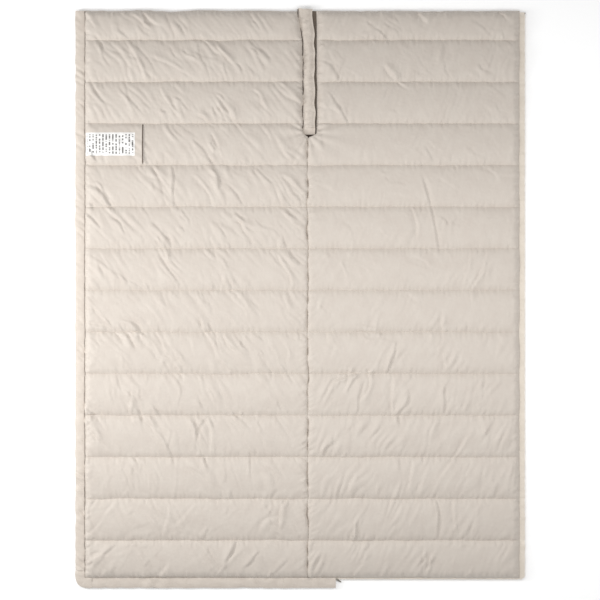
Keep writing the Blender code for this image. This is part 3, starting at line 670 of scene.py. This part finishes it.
def make_nylon():
    """Extruded nylon monofilament, coiled for the zip: smooth, slightly clear, uneven in dye."""
    material, tree, shader, where = new_material("coiled nylon monofilament", "#DDD2C4", 0.38,
                                                 **{"IOR": 1.53})
    paint(tree, shader, noise(tree, where, 20 * MM), "#E4D9CB", "#D2C7B9")
    return material


def make_metal():
    """Die cast zinc with a satin lacquer: fine pits from casting and worn, paler patches."""
    material, tree, shader, where = new_material("lacquered die cast zinc", "#948F88", 0.42,
                                                 **{"Metallic": 0.6})
    worn = spread(tree, noise(tree, where, 4 * MM), 0.52, 0.66)
    paint(tree, shader, worn, "#B3AEA6", "#918C85")
    emboss(tree, shader, noise(tree, where, 0.6 * MM, Detail=3.0), 0.25, 0.1 * MM)
    return material


def make_down():
    """Loose white down: soft clusters that scatter light, matted into small tufts."""
    material, tree, shader, where = new_material("loose white down", "#F2EEE8", 0.95,
                                                 **{"Sheen Weight": 0.5})
    tuft = add(tree, "ShaderNodeTexVoronoi", {"Vector": where, "Scale": 1 / (9 * MM)})
    fluff = noise(tree, where, 2 * MM, Detail=6.0)
    height = calculate(tree, "ADD", tuft.outputs["Distance"], fluff)
    emboss(tree, shader, height, 0.8, 3 * MM)
    paint(tree, shader, fluff, "#F6F3EE", "#E4DFD7")
    return material


def make_label():
    """White satin ribbon, printed in grey with rows of plain dashes that aren't letters."""
    material, tree, shader, uv = new_material("printed satin ribbon", "#F4F3F1", 0.45, True,
                                              **{"Sheen Weight": 0.2})
    split = add(tree, "ShaderNodeSeparateXYZ", {0: uv})
    across, along = split.outputs[0], split.outputs[1]

    def within(value, start, end):
        """1 between start and end, else 0."""
        return calculate(tree, "MULTIPLY", calculate(tree, "GREATER_THAN", value, start),
                         calculate(tree, "LESS_THAN", value, end))

    # rows stand 11 mm apart across the ribbon's length; each dash is 2 to 10 mm long
    row = calculate(tree, "DIVIDE", across, 11 * MM)
    row_number = calculate(tree, "FLOOR", row)
    place = add(tree, "ShaderNodeCombineXYZ",
                {0: calculate(tree, "MULTIPLY", along, 1 / (5.5 * MM)),
                 1: calculate(tree, "MULTIPLY", row_number, 7.3)})
    dash = noise(tree, place.outputs[0], 1.0, Detail=2.0)
    mask = calculate(tree, "GREATER_THAN", dash, 0.49)
    for part in (within(calculate(tree, "FRACT", row), 0.28, 0.72),
                 within(along, 6 * MM, 71 * MM), within(across, 6 * MM, 166 * MM)):
        mask = calculate(tree, "MULTIPLY", mask, part)
    paint(tree, shader, calculate(tree, "MULTIPLY", mask, 0.95), "#63605E", "#EFEEEC")
    emboss(tree, shader, band(tree, uv, "Y", 0.8 * MM), 0.2, 0.05 * MM)
    return material


THREAD, NYLON, METAL, DOWN, LABEL = (make() for make in (make_thread, make_nylon, make_metal,
                                                         make_down, make_label))


# ---------------------------------------------------------------- meshes from grids
def grid_faces(rows, columns, flip=False, offset=0):
    """Quads of a grid whose first row is furthest up and first column furthest left."""
    index = np.arange(rows * columns).reshape(rows, columns) + offset
    corners = [index[:-1, :-1], index[1:, :-1], index[1:, 1:], index[:-1, 1:]]
    quads = np.stack(corners[::-1] if flip else corners, -1)
    return quads.reshape(-1, 4)


def new_piece(name, points, faces, material, uv=None):
    """An object at the origin with a smooth mesh; uv is a plan place for each point, in metres."""
    mesh = bpy.data.meshes.new(name)
    mesh.from_pydata(np.asarray(points).reshape(-1, 3).tolist(), [], [list(f) for f in faces])
    mesh.materials.append(material)
    mesh.shade_smooth()
    if uv is not None:
        layer = mesh.uv_layers.new(name="cloth")
        corner = np.zeros(len(mesh.loops), np.int32)
        mesh.loops.foreach_get("vertex_index", corner)
        layer.data.foreach_set("uv", np.asarray(uv).reshape(-1, 2)[corner].astype(np.float32).ravel())
    piece = bpy.data.objects.new(name, mesh)
    bpy.context.scene.collection.objects.link(piece)
    return piece


def thin_sheet(name, top, thickness, material, uv=None):
    """A closed sheet from a grid of its top points; faces look out whichever way the grid runs."""
    right, down = top[1, 1] - top[1, 0], top[1, 1] - top[0, 1]
    if np.cross(down, right)[2] < 0:
        top = top[:, ::-1]
        uv = None if uv is None else uv[:, ::-1]
    rows, columns, _ = top.shape
    bottom = top.copy()
    bottom[..., 2] -= thickness
    size = rows * columns
    faces = [grid_faces(rows, columns), grid_faces(rows, columns, flip=True, offset=size)]
    index = np.arange(size).reshape(rows, columns)
    rim = np.concatenate([index[:, 0], index[-1, 1:], index[-2::-1, -1], index[0, -2:0:-1]])
    following = np.roll(rim, -1)
    faces.append(np.stack([rim, rim + size, following + size, following], -1))
    points = np.concatenate([top.reshape(-1, 3), bottom.reshape(-1, 3)])
    if uv is None:
        uv = top[..., :2]
    both = np.concatenate([uv.reshape(-1, 2)] * 2)
    piece = new_piece(name, points, np.concatenate(faces), material, both)
    piece.data.set_sharp_from_angle(angle=math.radians(50))
    return piece


def declare(piece, slot, body, *nodes):
    """Attaches a piece to the body that it rides and hides the CAD nodes that it stands for; slot is
    not used.
    """
    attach(piece, body)
    if nodes:
        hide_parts(*nodes)


def across_fold(piece):
    """Bakes a piece's placement into its mesh."""
    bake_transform(piece)


def flat_size(cloth):
    """Width and length of a cloth when it is pressed flat."""
    points = cloth["points"]
    width = np.linalg.norm(np.diff(points, axis=1), axis=2).sum(1).mean()
    length = np.linalg.norm(np.diff(points, axis=0), axis=2).sum(0).mean()
    return float(width), float(length)


for side in SIDES:
    for kind, node, cloth, material, under in (
            ("lining", "lining_", LININGS[side], LINING_CLOTH, "down_batts_" + side),
            ("shell", "outer_shell_", SHELLS[side], SHELL_CLOTH, "floor")):
        faces = grid_faces(*cloth["points"].shape[:2], flip=kind == "shell")
        sheet = new_piece(kind + "_cloth_" + side, cloth["points"], faces, material, cloth["plan"])
        across_fold(sheet)
        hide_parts(node + side)
        flat_size(cloth)


# ---------------------------------------------------------------- down
def down_batts(side):
    """One lumpy closed pillow of down for each chamber, a little inside its fabrics."""
    points, faces, rows = [], [], 8
    for node in chambers(side):
        a, b = low(node), high(node)
        columns = max(8, round((b[0] - a[0]) / (14 * MM)))
        x = np.linspace(a[0] + 4 * MM, b[0] - 4 * MM, columns)[None, :] * np.ones((rows, 1))
        y = np.linspace(b[1] - 2 * MM, a[1] + 2 * MM, rows)[:, None] * np.ones((1, columns))
        near = [height_at(LININGS[side], x + dx * MM, y + dy * MM)
                for dx in (-7, 0, 7) for dy in (-7, 0, 7)]
        top = np.minimum(np.min(near, axis=0) - 3.0 * MM, b[2])
        top = top - 0.6 * MM * (1 + waves(x, y, 60 * MM, 60))
        rim = np.ones(x.shape, bool)
        rim[1:-1, 1:-1] = False
        bottom = height_at(SHELLS[side], x, y) + 1.0 * MM
        middle = np.clip((top + bottom) / 2, SEAM_JOIN + 0.5 * MM, None)
        top = np.where(rim, middle, np.maximum(top, middle + 0.5 * MM))
        bottom = np.where(rim, middle, np.minimum(bottom, middle - 0.5 * MM))
        start = len(points)
        points += np.dstack([x, y, top]).reshape(-1, 3).tolist()
        faces += grid_faces(rows, columns, offset=start).tolist()
        # the rim is shared; inner points of the underside are their own
        own = np.arange(rows * columns).reshape(rows, columns) + start
        inner = np.dstack([x, y, bottom])[~rim]
        own[~rim] = np.arange(len(inner)) + len(points)
        points += inner.tolist()
        corners = [own[:-1, :-1], own[:-1, 1:], own[1:, 1:], own[1:, :-1]]
        faces += np.stack(corners, -1).reshape(-1, 4).tolist()
    piece = new_piece("down_batts_" + side, points, faces, DOWN)
    declare(piece, "down", side, *chambers(side))


for side in SIDES:
    down_batts(side)


# ---------------------------------------------------------------- repeats along paths
def repeat_tree(name, sizes, material, make_shape):
    """A geometry tree that lays a shape at each pitch of a path, turned along it, realised."""
    tree = bpy.data.node_groups.new(name, "GeometryNodeTree")
    tree.interface.new_socket("Path", in_out="INPUT", socket_type="NodeSocketGeometry")
    for size in ("Pitch",) + sizes:
        tree.interface.new_socket(size, in_out="INPUT", socket_type="NodeSocketFloat")
    tree.interface.new_socket("Made", in_out="OUTPUT", socket_type="NodeSocketGeometry")
    given = tree.nodes.new("NodeGroupInput").outputs
    shape = add(tree, "GeometryNodeSetShadeSmooth", {0: make_shape(tree, given)})
    curve = add(tree, "GeometryNodeMeshToCurve", {"Mesh": given["Path"]})
    even = add(tree, "GeometryNodeResampleCurve",
               {"Curve": curve.outputs[0], "Length": given["Pitch"]}, mode="LENGTH")
    ahead = add(tree, "GeometryNodeInputTangent")
    turn = add(tree, "FunctionNodeAlignRotationToVector", {"Vector": ahead.outputs[0]}, axis="X")
    copies = add(tree, "GeometryNodeInstanceOnPoints",
                 {"Points": even.outputs[0], "Instance": shape.outputs[0],
                  "Rotation": turn.outputs[0]})
    real = add(tree, "GeometryNodeRealizeInstances", {0: copies.outputs[0]})
    finish = add(tree, "GeometryNodeSetMaterial", {"Geometry": real.outputs[0]})
    finish.inputs["Material"].default_value = material
    add(tree, "NodeGroupOutput", {0: finish.outputs[0]})
    return tree


def stitch_shape(tree, given):
    """One stitch: a long bead that dips at its ends."""
    bead = add(tree, "GeometryNodeMeshUVSphere", {"Segments": 6, "Rings": 4, "Radius": 0.5})
    size = add(tree, "ShaderNodeCombineXYZ", {0: given["Length"], 1: given["Thickness"],
                                              2: given["Thickness"]})
    return add(tree, "GeometryNodeTransform", {"Geometry": bead.outputs["Mesh"],
                                               "Scale": size.outputs[0]}).outputs[0]


def coil_shape(tree, given):
    """One turn of nylon: a ring across the path, slightly slanted."""
    ring = add(tree, "GeometryNodeCurvePrimitiveCircle", {"Resolution": 9,
                                                          "Radius": given["Radius"]})
    upright = add(tree, "GeometryNodeTransform",
                  {"Geometry": ring.outputs["Curve"],
                   "Rotation": (0.0, math.radians(90), math.radians(14))})
    wire = add(tree, "GeometryNodeCurvePrimitiveCircle", {"Resolution": 5,
                                                          "Radius": given["Wire"]})
    return add(tree, "GeometryNodeCurveToMesh", {"Curve": upright.outputs[0],
                                                 "Profile Curve": wire.outputs["Curve"]}).outputs[0]


def repeat(name, paths, tree, sizes):
    """Runs a tree along paths and returns the result as a plain mesh object."""
    points, edges = [], []
    for path in paths:
        start = len(points)
        points += np.asarray(path).tolist()
        edges += [(start + i, start + i + 1) for i in range(len(path) - 1)]
    mesh = bpy.data.meshes.new(name + "_path")
    mesh.from_pydata(points, edges, [])
    carrier = bpy.data.objects.new(name + "_path", mesh)
    bpy.context.scene.collection.objects.link(carrier)
    modifier = carrier.modifiers.new("repeat", "NODES")
    modifier.node_group = tree
    for socket in tree.interface.items_tree:
        if socket.name in sizes:
            modifier[socket.identifier] = sizes[socket.name]
    made = carrier.evaluated_get(bpy.context.evaluated_depsgraph_get())
    result = bpy.data.meshes.new_from_object(made)
    result.name = name
    carrier.modifiers.clear()
    bpy.data.objects.remove(carrier)
    piece = bpy.data.objects.new(name, result)
    bpy.context.scene.collection.objects.link(piece)
    return piece


# ---------------------------------------------------------------- stitches
STITCH = repeat_tree("lock stitches", ("Length", "Thickness"), THREAD, stitch_shape)
STITCH_SIZES = {"Pitch": 5.2 * MM, "Length": 3.9 * MM, "Thickness": 0.9 * MM}
EDGE_ROW = 3.5 * MM


def seam_paths(side):
    """Lines of thread on one half: its baffle seams and the row just inside each edge."""
    cloth = LININGS[side]
    points = cloth["points"]
    paths = [points[row, 2:-2] + (0, 0, 0.25 * MM) for row in cloth["seam_rows"][1:-1]]
    x = points[0, 2:-2, 0]
    rows = [(x, np.full(len(x), y)) for y in (HEAD - EDGE_ROW, FOOT + EDGE_ROW)]
    rows += [(points[2:-2, column, 0] + inset, points[2:-2, column, 1])
             for column, inset in ((0, EDGE_ROW), (-1, -EDGE_ROW))]
    return paths + [line_of(x, y, height_at(cloth, x, y) + 0.1 * MM) for x, y in rows]


for side in SIDES:
    stitches = repeat("quilting_threads_" + side, seam_paths(side), STITCH, STITCH_SIZES)
    across_fold(stitches)
    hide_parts("quilting_stitches_" + side)


# ---------------------------------------------------------------- pocket and label
POCKET_LOW, POCKET_HIGH = low("inner_pocket"), high("inner_pocket")
LABEL_LOW, LABEL_HIGH = low("care_label"), high("care_label")
LABEL_LIFT = 0.6 * MM
LABEL_MARGIN = 2.5 * MM


def pocket_z(x, y, extra=0.0):
    """Height of the pocket's cloth: it lies on the lining and stands a little open at its mouth."""
    edge = np.minimum(np.minimum(y - POCKET_LOW[1], POCKET_HIGH[1] - y), x - POCKET_LOW[0])
    edge = np.clip(edge - 1 * MM, 0, None)
    mouth = np.exp(-(POCKET_HIGH[0] - x) / (12 * MM)) * smooth(edge / (20 * MM))
    low_side = smooth((x - POCKET_LOW[0]) / (30 * MM))     # it lies flat under the side flap
    swell = 1.6 * MM * smooth(edge / (8 * MM)) * (1 + 0.25 * waves(x, y, 26 * MM, 71)) * low_side
    return height_at(LININGS["left"], x, y) + 0.35 * MM + swell + 2.2 * MM * mouth + extra


def pocket_patch(a, b, extra):
    """Grid over the pocket between two plan corners."""
    x, y = np.meshgrid(along(a[0], b[0], 4 * MM), along(b[1], a[1], 4 * MM))
    return np.dstack([x, y, pocket_z(x, y, extra)])


def plan_size(a, b, fullness=1.0):
    """Plan size of a box between two corners, with its spare length."""
    return float(b[0] - a[0]), float(b[1] - a[1]) * fullness


pocket = thin_sheet("pocket_panel", pocket_patch(POCKET_LOW, POCKET_HIGH, 0.0), 0.3 * MM,
                    LINING_CLOTH)
declare(pocket, "lining", "left", "inner_pocket")

top = pocket_patch(LABEL_LOW, LABEL_HIGH, LABEL_LIFT)
label = thin_sheet("care_label_ribbon", top, 0.3 * MM, LABEL, top[..., :2] - LABEL_LOW[:2])
declare(label, "label", "left", "care_label")
plan_size(LABEL_LOW, LABEL_HIGH)

# grosgrain over the pocket's mouth
y = np.linspace(POCKET_HIGH[1] - 3 * MM, POCKET_LOW[1] + 5 * MM, 40)[:, None]
z = pocket_z(POCKET_HIGH[0] + 0 * y, y)
across = np.array([-1.4, -0.7, 0.7, 1.4]) * MM
crown = np.array([0.15, 0.45, 0.45, 0.15]) * MM
top = np.dstack(np.broadcast_arrays(POCKET_HIGH[0] + across, y, z + crown))
binding = thin_sheet("pocket_mouth_binding", top, 1.3 * MM, BINDING_AND_SHADE_CLOTH)
declare(binding, "tape", "left")
plan_size(POCKET_LOW, POCKET_HIGH, 1.03)

# the label's stitches, just inside its four edges
x_low, y_low = LABEL_LOW[:2] + LABEL_MARGIN
x_high, y_high = LABEL_HIGH[:2] - LABEL_MARGIN
x, y = np.arange(x_low, x_high, 3 * MM), np.arange(y_low, y_high, 3 * MM)
plans = [line_of(x, y_low), line_of(x, y_high), line_of(x_low, y), line_of(x_high, y)]
label_threads = repeat(
    "label_threads", [line_of(*plan.T, pocket_z(*plan.T, LABEL_LIFT + 0.1 * MM)) for plan in plans],
    STITCH, {"Pitch": 4.0 * MM, "Length": 3.0 * MM, "Thickness": 0.5 * MM})
declare(label_threads, "thread", "left")


# ---------------------------------------------------------------- draft flaps
FLAP_INNER = high("side_flap")[0]
FOOT_FLAP_INNER = high("foot_flap")[1]
ARM_Y = low("side_flap")[1]
ARM_X = low("foot_flap")[0]
FOOT_END_X = high("foot_flap")[0]
FOOT_MIDDLE_X = (ARM_X + FOOT_END_X) / 2
PIECE_GAP = 0.2 * MM             # between neighbouring lengths of the flap


def flap_grid(inner, outer, seed, extra=0.0, slack=1.5 * MM):
    """Top of a flap between its sewn edge and its free edge, crinkled on the slant."""
    x, y, across = between(inner, outer, 11)
    crinkle = waves(x + y, (x - y) * 0.4, 30 * MM, seed) * (0.6 + 0.5 * waves(x, y, 0.11, seed + 4))
    fine = waves(x, y, 8 * MM, seed + 1)
    swell = np.sin(math.pi * across) ** 0.7
    z = (FLAP_TOP + extra + 1.3 * MM * swell + slack * crinkle * smooth(across / 0.15)
         + 0.25 * MM * fine * swell - 2.4 * MM * across ** 4)
    stray = 0.8 * MM * sway(x + y, 0.045, seed + 2) * across ** 3
    outward = (outer - inner) / np.linalg.norm(outer - inner, axis=1)[:, None]
    return np.dstack([x + outward[:, :1] * stray, y + outward[:, 1:] * stray, z])


def lay_flap(name, inner, outer, seed, nodes, fan=1.0, tapes=("left",), **more):
    """Makes a flap sheet from its two edges, given from its left end as seen from outside."""
    flap = thin_sheet(name, flap_grid(inner, outer, seed, **more), 1.0 * MM, FLAP_CLOTH)
    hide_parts(*nodes)
    ["main_zip_tape_" + tape for tape in tapes]
    return flap


def foot_flap(part, start, end, nodes, **more):
    """One length of the flap along the foot edge."""
    x = along(start, end)
    return lay_flap("foot_draft_flap_" + part, line_of(x, FOOT_FLAP_INNER),
                    line_of(x, FOOT_FLAP_OUT), 87, nodes, **more)


y = along(HEAD, ARM_Y + PIECE_GAP)
flap = lay_flap("side_draft_flap", line_of(FLAP_INNER, y), line_of(FLAP_OUT, y), 81, ["side_flap"])
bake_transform(flap)

# the corner is sewn as one fan with the arms beside it
turn = np.radians(np.linspace(180, 270, 20))
y = along(ARM_Y - PIECE_GAP, FOOT)[:-1]
x = along(LEFT, ARM_X - PIECE_GAP)[1:]
inner = np.vstack([line_of(FLAP_INNER - 0.5 * MM, np.maximum(y, FOOT_FLAP_INNER + 0.1 * MM)),
                   line_of(FLAP_INNER + 0.5 * MM * np.cos(turn),
                           FOOT_FLAP_INNER + 0.5 * MM * np.sin(turn)),
                   line_of(np.maximum(x, FLAP_INNER + 0.1 * MM), FOOT_FLAP_INNER - 0.5 * MM)])
outer = np.vstack([line_of(FLAP_OUT, y),
                   line_of(LEFT + (LEFT - FLAP_OUT) * np.cos(turn),
                           FOOT + (FOOT - FOOT_FLAP_OUT) * np.sin(turn)),
                   line_of(x, FOOT_FLAP_OUT)])
flap = lay_flap("corner_draft_flap", inner, outer, 84, ["corner_flap"], fan=1.25, slack=2.2 * MM)
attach(flap, "left")

flap = foot_flap("outer", ARM_X + PIECE_GAP, FOOT_MIDDLE_X, ["foot_flap"], slack=1.4 * MM)
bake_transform(flap)
flap = foot_flap("inner", FOOT_MIDDLE_X, FOOT_END_X - PIECE_GAP, ["foot_flap"], slack=1.4 * MM)
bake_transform(flap)
flap = foot_flap("tail", FOOT_END_X + PIECE_GAP, high("foot_flap_end_right")[0],
                 ["foot_flap_end_left", "foot_flap_end_right"], tapes=SIDES, extra=0.5 * MM,
                 slack=1.6 * MM)
across_fold(flap)


# ---------------------------------------------------------------- slit flap
FLAP_FREE = high("slit_flap")[0]
FLAP_BASE = high("slit_flap_seam")[2]
FLAP_HIGH = high("slit_flap")[2]
y = along(high("slit_flap")[1], SLIT_END - 4 * MM)
t = (y - SLIT_END) / (y[0] - SLIT_END)
flare = slit_flare(y)
sewn_x = SLIT_LEFT - 2.4 * MM - SLIT_LEAN * flare + 1.0 * MM * sway(y, 0.05, 91)
free_x = FLAP_FREE + (2.8 - 2.0 * t - 7 * flare + 1.2 * sway(y, 0.07, 92)) * MM
x, yy, across = between(line_of(sewn_x, y), line_of(free_x, y), 15)
yy = yy + 2.0 * MM * sway(x, 0.03, 93) * flare[:, None]
rise = np.sin(math.pi * np.clip(across * 1.15, 0, 1)) ** 0.8
closing = smooth(t / 0.06)[:, None]
z = (FLAP_BASE + (FLAP_HIGH - FLAP_BASE) * (0.75 * rise + 0.35 * across)
     + 0.9 * MM * waves(x - 0.8 * yy, (x + yy) * 0.4, 15 * MM, 94) * smooth(across / 0.2)
     + 0.35 * MM * waves(x, yy, 7 * MM, 95) * rise)
z = z * closing + (FLAP_BASE + 0.5 * MM) * (1 - closing)
flap = thin_sheet("slit_draft_flap", np.dstack([x, yy, z]), 1.0 * MM, FLAP_CLOTH)
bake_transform(flap)
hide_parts("slit_flap", "slit_flap_seam")


def piping(name, line, radius):
    """A thin round cord of grosgrain along a line on the left half, with closed ends."""
    ahead = np.gradient(line, axis=0)
    ahead /= np.linalg.norm(ahead, axis=1)[:, None]
    sideways = np.cross(ahead, (0, 0, 1.0))
    sideways /= np.linalg.norm(sideways, axis=1)[:, None]
    up = np.cross(sideways, ahead)
    turn = np.linspace(0, 2 * math.pi, 9)[:-1, None]
    ring = line[:, None] + radius * (np.cos(turn) * sideways[:, None] + np.sin(turn) * up[:, None])
    index = np.arange(ring.size // 3).reshape(ring.shape[:2])
    following = np.roll(index, -1, axis=1)
    faces = np.stack([index[:-1], following[:-1], following[1:], index[1:]], -1)
    ends = [index[0, ::-1].tolist(), index[-1].tolist()]
    piece = new_piece(name, ring, faces.reshape(-1, 4).tolist() + ends, BINDING_AND_SHADE_CLOTH)
    declare(piece, "tape", "left")


# two dark cords along the slit: one on the flap's seam, one beside it on the lining
hug = 1.2 * MM * sway(y, 0.04, 89)
piping("slit_piping", line_of(sewn_x - 1.2 * MM + hug, y, FLAP_BASE + 1.6 * MM), 1.1 * MM)
x = sewn_x - 4.4 * MM + hug * 1.4
piping("slit_inner_piping", line_of(x, y, height_at(LININGS["left"], x, y) + 0.2 * MM), 0.6 * MM)

# a dark sheet under the end of the slit, where the two tapes meet: painted shade for the hollow below
# the flap's end
x, yy = np.meshgrid(np.linspace(SLIT_LEFT - 6 * MM, SLIT_RIGHT + 6 * MM, 12),
                    np.linspace(SLIT_END + 12 * MM, SLIT_END - 30 * MM, 12))
slit_end_shade = thin_sheet("slit_end_painted_shade", np.dstack([x, yy, np.full(x.shape, SEAM_JOIN - 0.3 * MM)]),
                  0.5 * MM, BINDING_AND_SHADE_CLOTH)
across_fold(slit_end_shade)
float(np.ptp(x))
float(np.ptp(yy))

# a cross row of stitches closes the flap's foot
x = np.linspace(SLIT_LEFT + 7 * MM, free_x[-4] - 1 * MM, 8)
bar = repeat("slit_flap_bar_tack", [line_of(x, SLIT_END + 18 * MM, FLAP_HIGH - 0.5 * MM)], STITCH,
             {"Pitch": 3.2 * MM, "Length": 2.6 * MM, "Thickness": 0.9 * MM})
declare(bar, "thread", "slit_flap")

# a thin dark cord lies in the join between the lining and the side flap: painted shade for the crevice
# there
y = along(HEAD - 2 * MM, FOOT + 20 * MM)
piping("side_join_painted_shade", line_of(FLAP_INNER + 0.4 * MM + 0.9 * MM * sway(y, 0.035, 96), y,
                              FLAP_TOP + 2.6 * MM), 0.6 * MM)


# ---------------------------------------------------------------- zips
COIL_RADIUS = (high("slit_zip_coil_left")[0] - low("slit_zip_coil_left")[0]) / 2
COIL_Z = low("slit_zip_coil_left")[2] + COIL_RADIUS
COIL = repeat_tree("zip coil", ("Radius", "Wire"), NYLON, coil_shape)
COIL_SIZES = {"Pitch": 2.3 * MM, "Radius": COIL_RADIUS - 0.45 * MM, "Wire": 0.45 * MM}
TUCK = 3.5 * MM                  # zip strip's overlap under the hem
STRIP_BEND = 13 * MM             # radius of the strip's edge round the right half's corner


def zip_bend(centre, radius, start, end):
    """Plan points round a corner."""
    turn = np.radians(np.linspace(start, end, 16))
    return line_of(centre[0] + radius * np.cos(turn), centre[1] + radius * np.sin(turn))


def strip_wave(y):
    """Height that the free zip strip gains as it crinkles; level near the slider."""
    return 0.9 * MM * sway(y, 0.028, 97)


def lay_coil(name, body, plan, node, wave=0.0):
    """A zip coil along plan points."""
    path = line_of(*plan.T, COIL_Z + wave)
    declare(repeat(name, [path], COIL, COIL_SIZES), "coil", body, node)


coil_low, coil_high = low("main_zip_coil_left"), high("main_zip_coil_left")
coil_x, coil_y = coil_low[:2] + COIL_RADIUS
plan = np.vstack([(coil_x, coil_high[1]), zip_bend((LEFT, FOOT), LEFT - coil_x, 180, 270),
                  (coil_high[0], coil_y)])
lay_coil("side_coil_left", "left", plan, "main_zip_coil_left")

tape_low, tape_high = low("main_zip_tape_right"), high("main_zip_tape_right")
centre = (tape_high[0] - STRIP_BEND, tape_low[1] + STRIP_BEND)
coil_low, coil_high = low("main_zip_coil_right"), high("main_zip_coil_right")
ring = coil_high[0] - COIL_RADIUS - centre[0]
side_y = along(coil_high[1], centre[1], 4 * MM)[:-1]
foot_x = along(centre[0], coil_low[0], 4 * MM)[1:]
plan = np.vstack([line_of(centre[0] + ring, side_y), zip_bend(centre, ring, 360, 270),
                  line_of(foot_x, centre[1] - ring)])
wave = np.zeros(len(plan))
wave[:len(side_y)] = strip_wave(side_y) * smooth((side_y - centre[1]) / 0.06)
lay_coil("side_coil_right", "right", plan, "main_zip_coil_right", wave)

# the strip between the right edge and its coil shows, so it is cloth, crinkled along its length
side_y = along(tape_high[1], centre[1], 4 * MM)[:-1]
foot_x = along(centre[0], tape_low[0], 6 * MM)[1:]
inner = np.vstack([line_of(RIGHT - TUCK, side_y),
                   zip_bend((RIGHT - TUCK, FOOT + TUCK), 0.4 * MM, 0, -90),
                   line_of(np.minimum(foot_x, RIGHT - TUCK - 0.5 * MM), FOOT + TUCK)])
outer = np.vstack([line_of(tape_high[0], side_y), zip_bend(centre, STRIP_BEND, 360, 270),
                   line_of(foot_x, tape_low[1])])
x, y, across = between(inner, outer, 7)
free = smooth((y - centre[1]) / 0.06) * smooth((x - RIGHT) / (4 * MM))
z = tape_high[2] + free * (strip_wave(y) * across + 0.5 * MM * waves(x * 0.4, y, 11 * MM, 98))
strip = thin_sheet("zip_strip_right", np.dstack([x, y, z]), 1.2 * MM, LIGHTENED_STRIP_TAPE)
declare(strip, "tape", "right", "main_zip_tape_right")

for side in SIDES:
    node = "slit_zip_coil_" + side
    middle = (low(node)[0] + high(node)[0]) / 2
    plan = np.array([(middle, high(node)[1]), (middle, low(node)[1])])
    lay_coil("slit_coil_" + side, side, plan, node)

# the CAD pieces that show as they are
OWN_FINISHES = (
    (TAPE_CLOTH, ("main_zip_tape_left",)),
    (SLIT_SHADE_TAPE, ("slit_zip_tape_left", "slit_zip_tape_right")),
    (METAL, ("main_zip_pin", "main_zip_box", "main_zip_stop_left", "main_zip_stop_right",
             "main_zip_slider", "main_zip_pull", "slit_zip_top_stop", "slit_zip_slider",
             "slit_zip_pull")),
)
for material, nodes in OWN_FINISHES:
    for node in nodes:
        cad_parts[node].material_slots[0].material = material


# ---------------------------------------------------------------- floor, light and camera
def make_floor():
    """Plain pale paper."""
    material, tree, shader, where = new_material("matte white paper", "#F7F7F7", 0.9)
    emboss(tree, shader, noise(tree, where, 3 * MM), 0.05, 0.1 * MM)
    shader.inputs["Emission Color"].default_value = (1, 1, 1, 1)
    shader.inputs["Emission Strength"].default_value = 0.2
    far, below = 12.0, -0.5 * MM
    corners = [(-far, far), (-far, -far), (far, -far), (far, far)]
    new_piece("floor", [(x, y, below) for x, y in corners], [(0, 1, 2, 3)], material)


def area_light(name, place, target, wide, deep, power):
    """A soft box that faces its target; its wide side lies across the quilt."""
    data = bpy.data.lights.new(name, "AREA")
    data.shape = "RECTANGLE"
    data.size = wide
    data.size_y = deep
    data.energy = power
    lamp = bpy.data.objects.new(name, data)
    lamp.location = place
    lamp.rotation_euler = (Vector(target) - Vector(place)).to_track_quat("-Z", "Y").to_euler()
    bpy.context.scene.collection.objects.link(lamp)


make_floor()
area_light("overhead_box", (0.1, -0.08, 1.45), (0.1, -0.08, 0.0), 3.6, 0.6, 19.3)
area_light("side_box", (-2.2, 0.0, 1.15), (0.1, 0.0, 0.0), 0.7, 0.7, 24.0)
world = bpy.data.worlds.new("studio")
world.use_nodes = True
world.node_tree.nodes["Background"].inputs["Color"].default_value = (1, 1, 1, 1)
world.node_tree.nodes["Background"].inputs["Strength"].default_value = 0.525
scene = bpy.context.scene
scene.world = world
scene.view_settings.view_transform = "Standard"

VIEW_WIDTH = 2.010         # width of the view at the hem's height
VIEW_CENTRE = (-1.7 * MM, -5 * MM)
LENS = 85.0
SENSOR = 36.0
camera = bpy.data.cameras.new("camera")
camera.lens = LENS
camera.sensor_width = SENSOR
eye = bpy.data.objects.new("camera", camera)
eye.location = (*VIEW_CENTRE, HEM_TOP + VIEW_WIDTH * LENS / SENSOR)
scene.collection.objects.link(eye)
scene.camera = eye
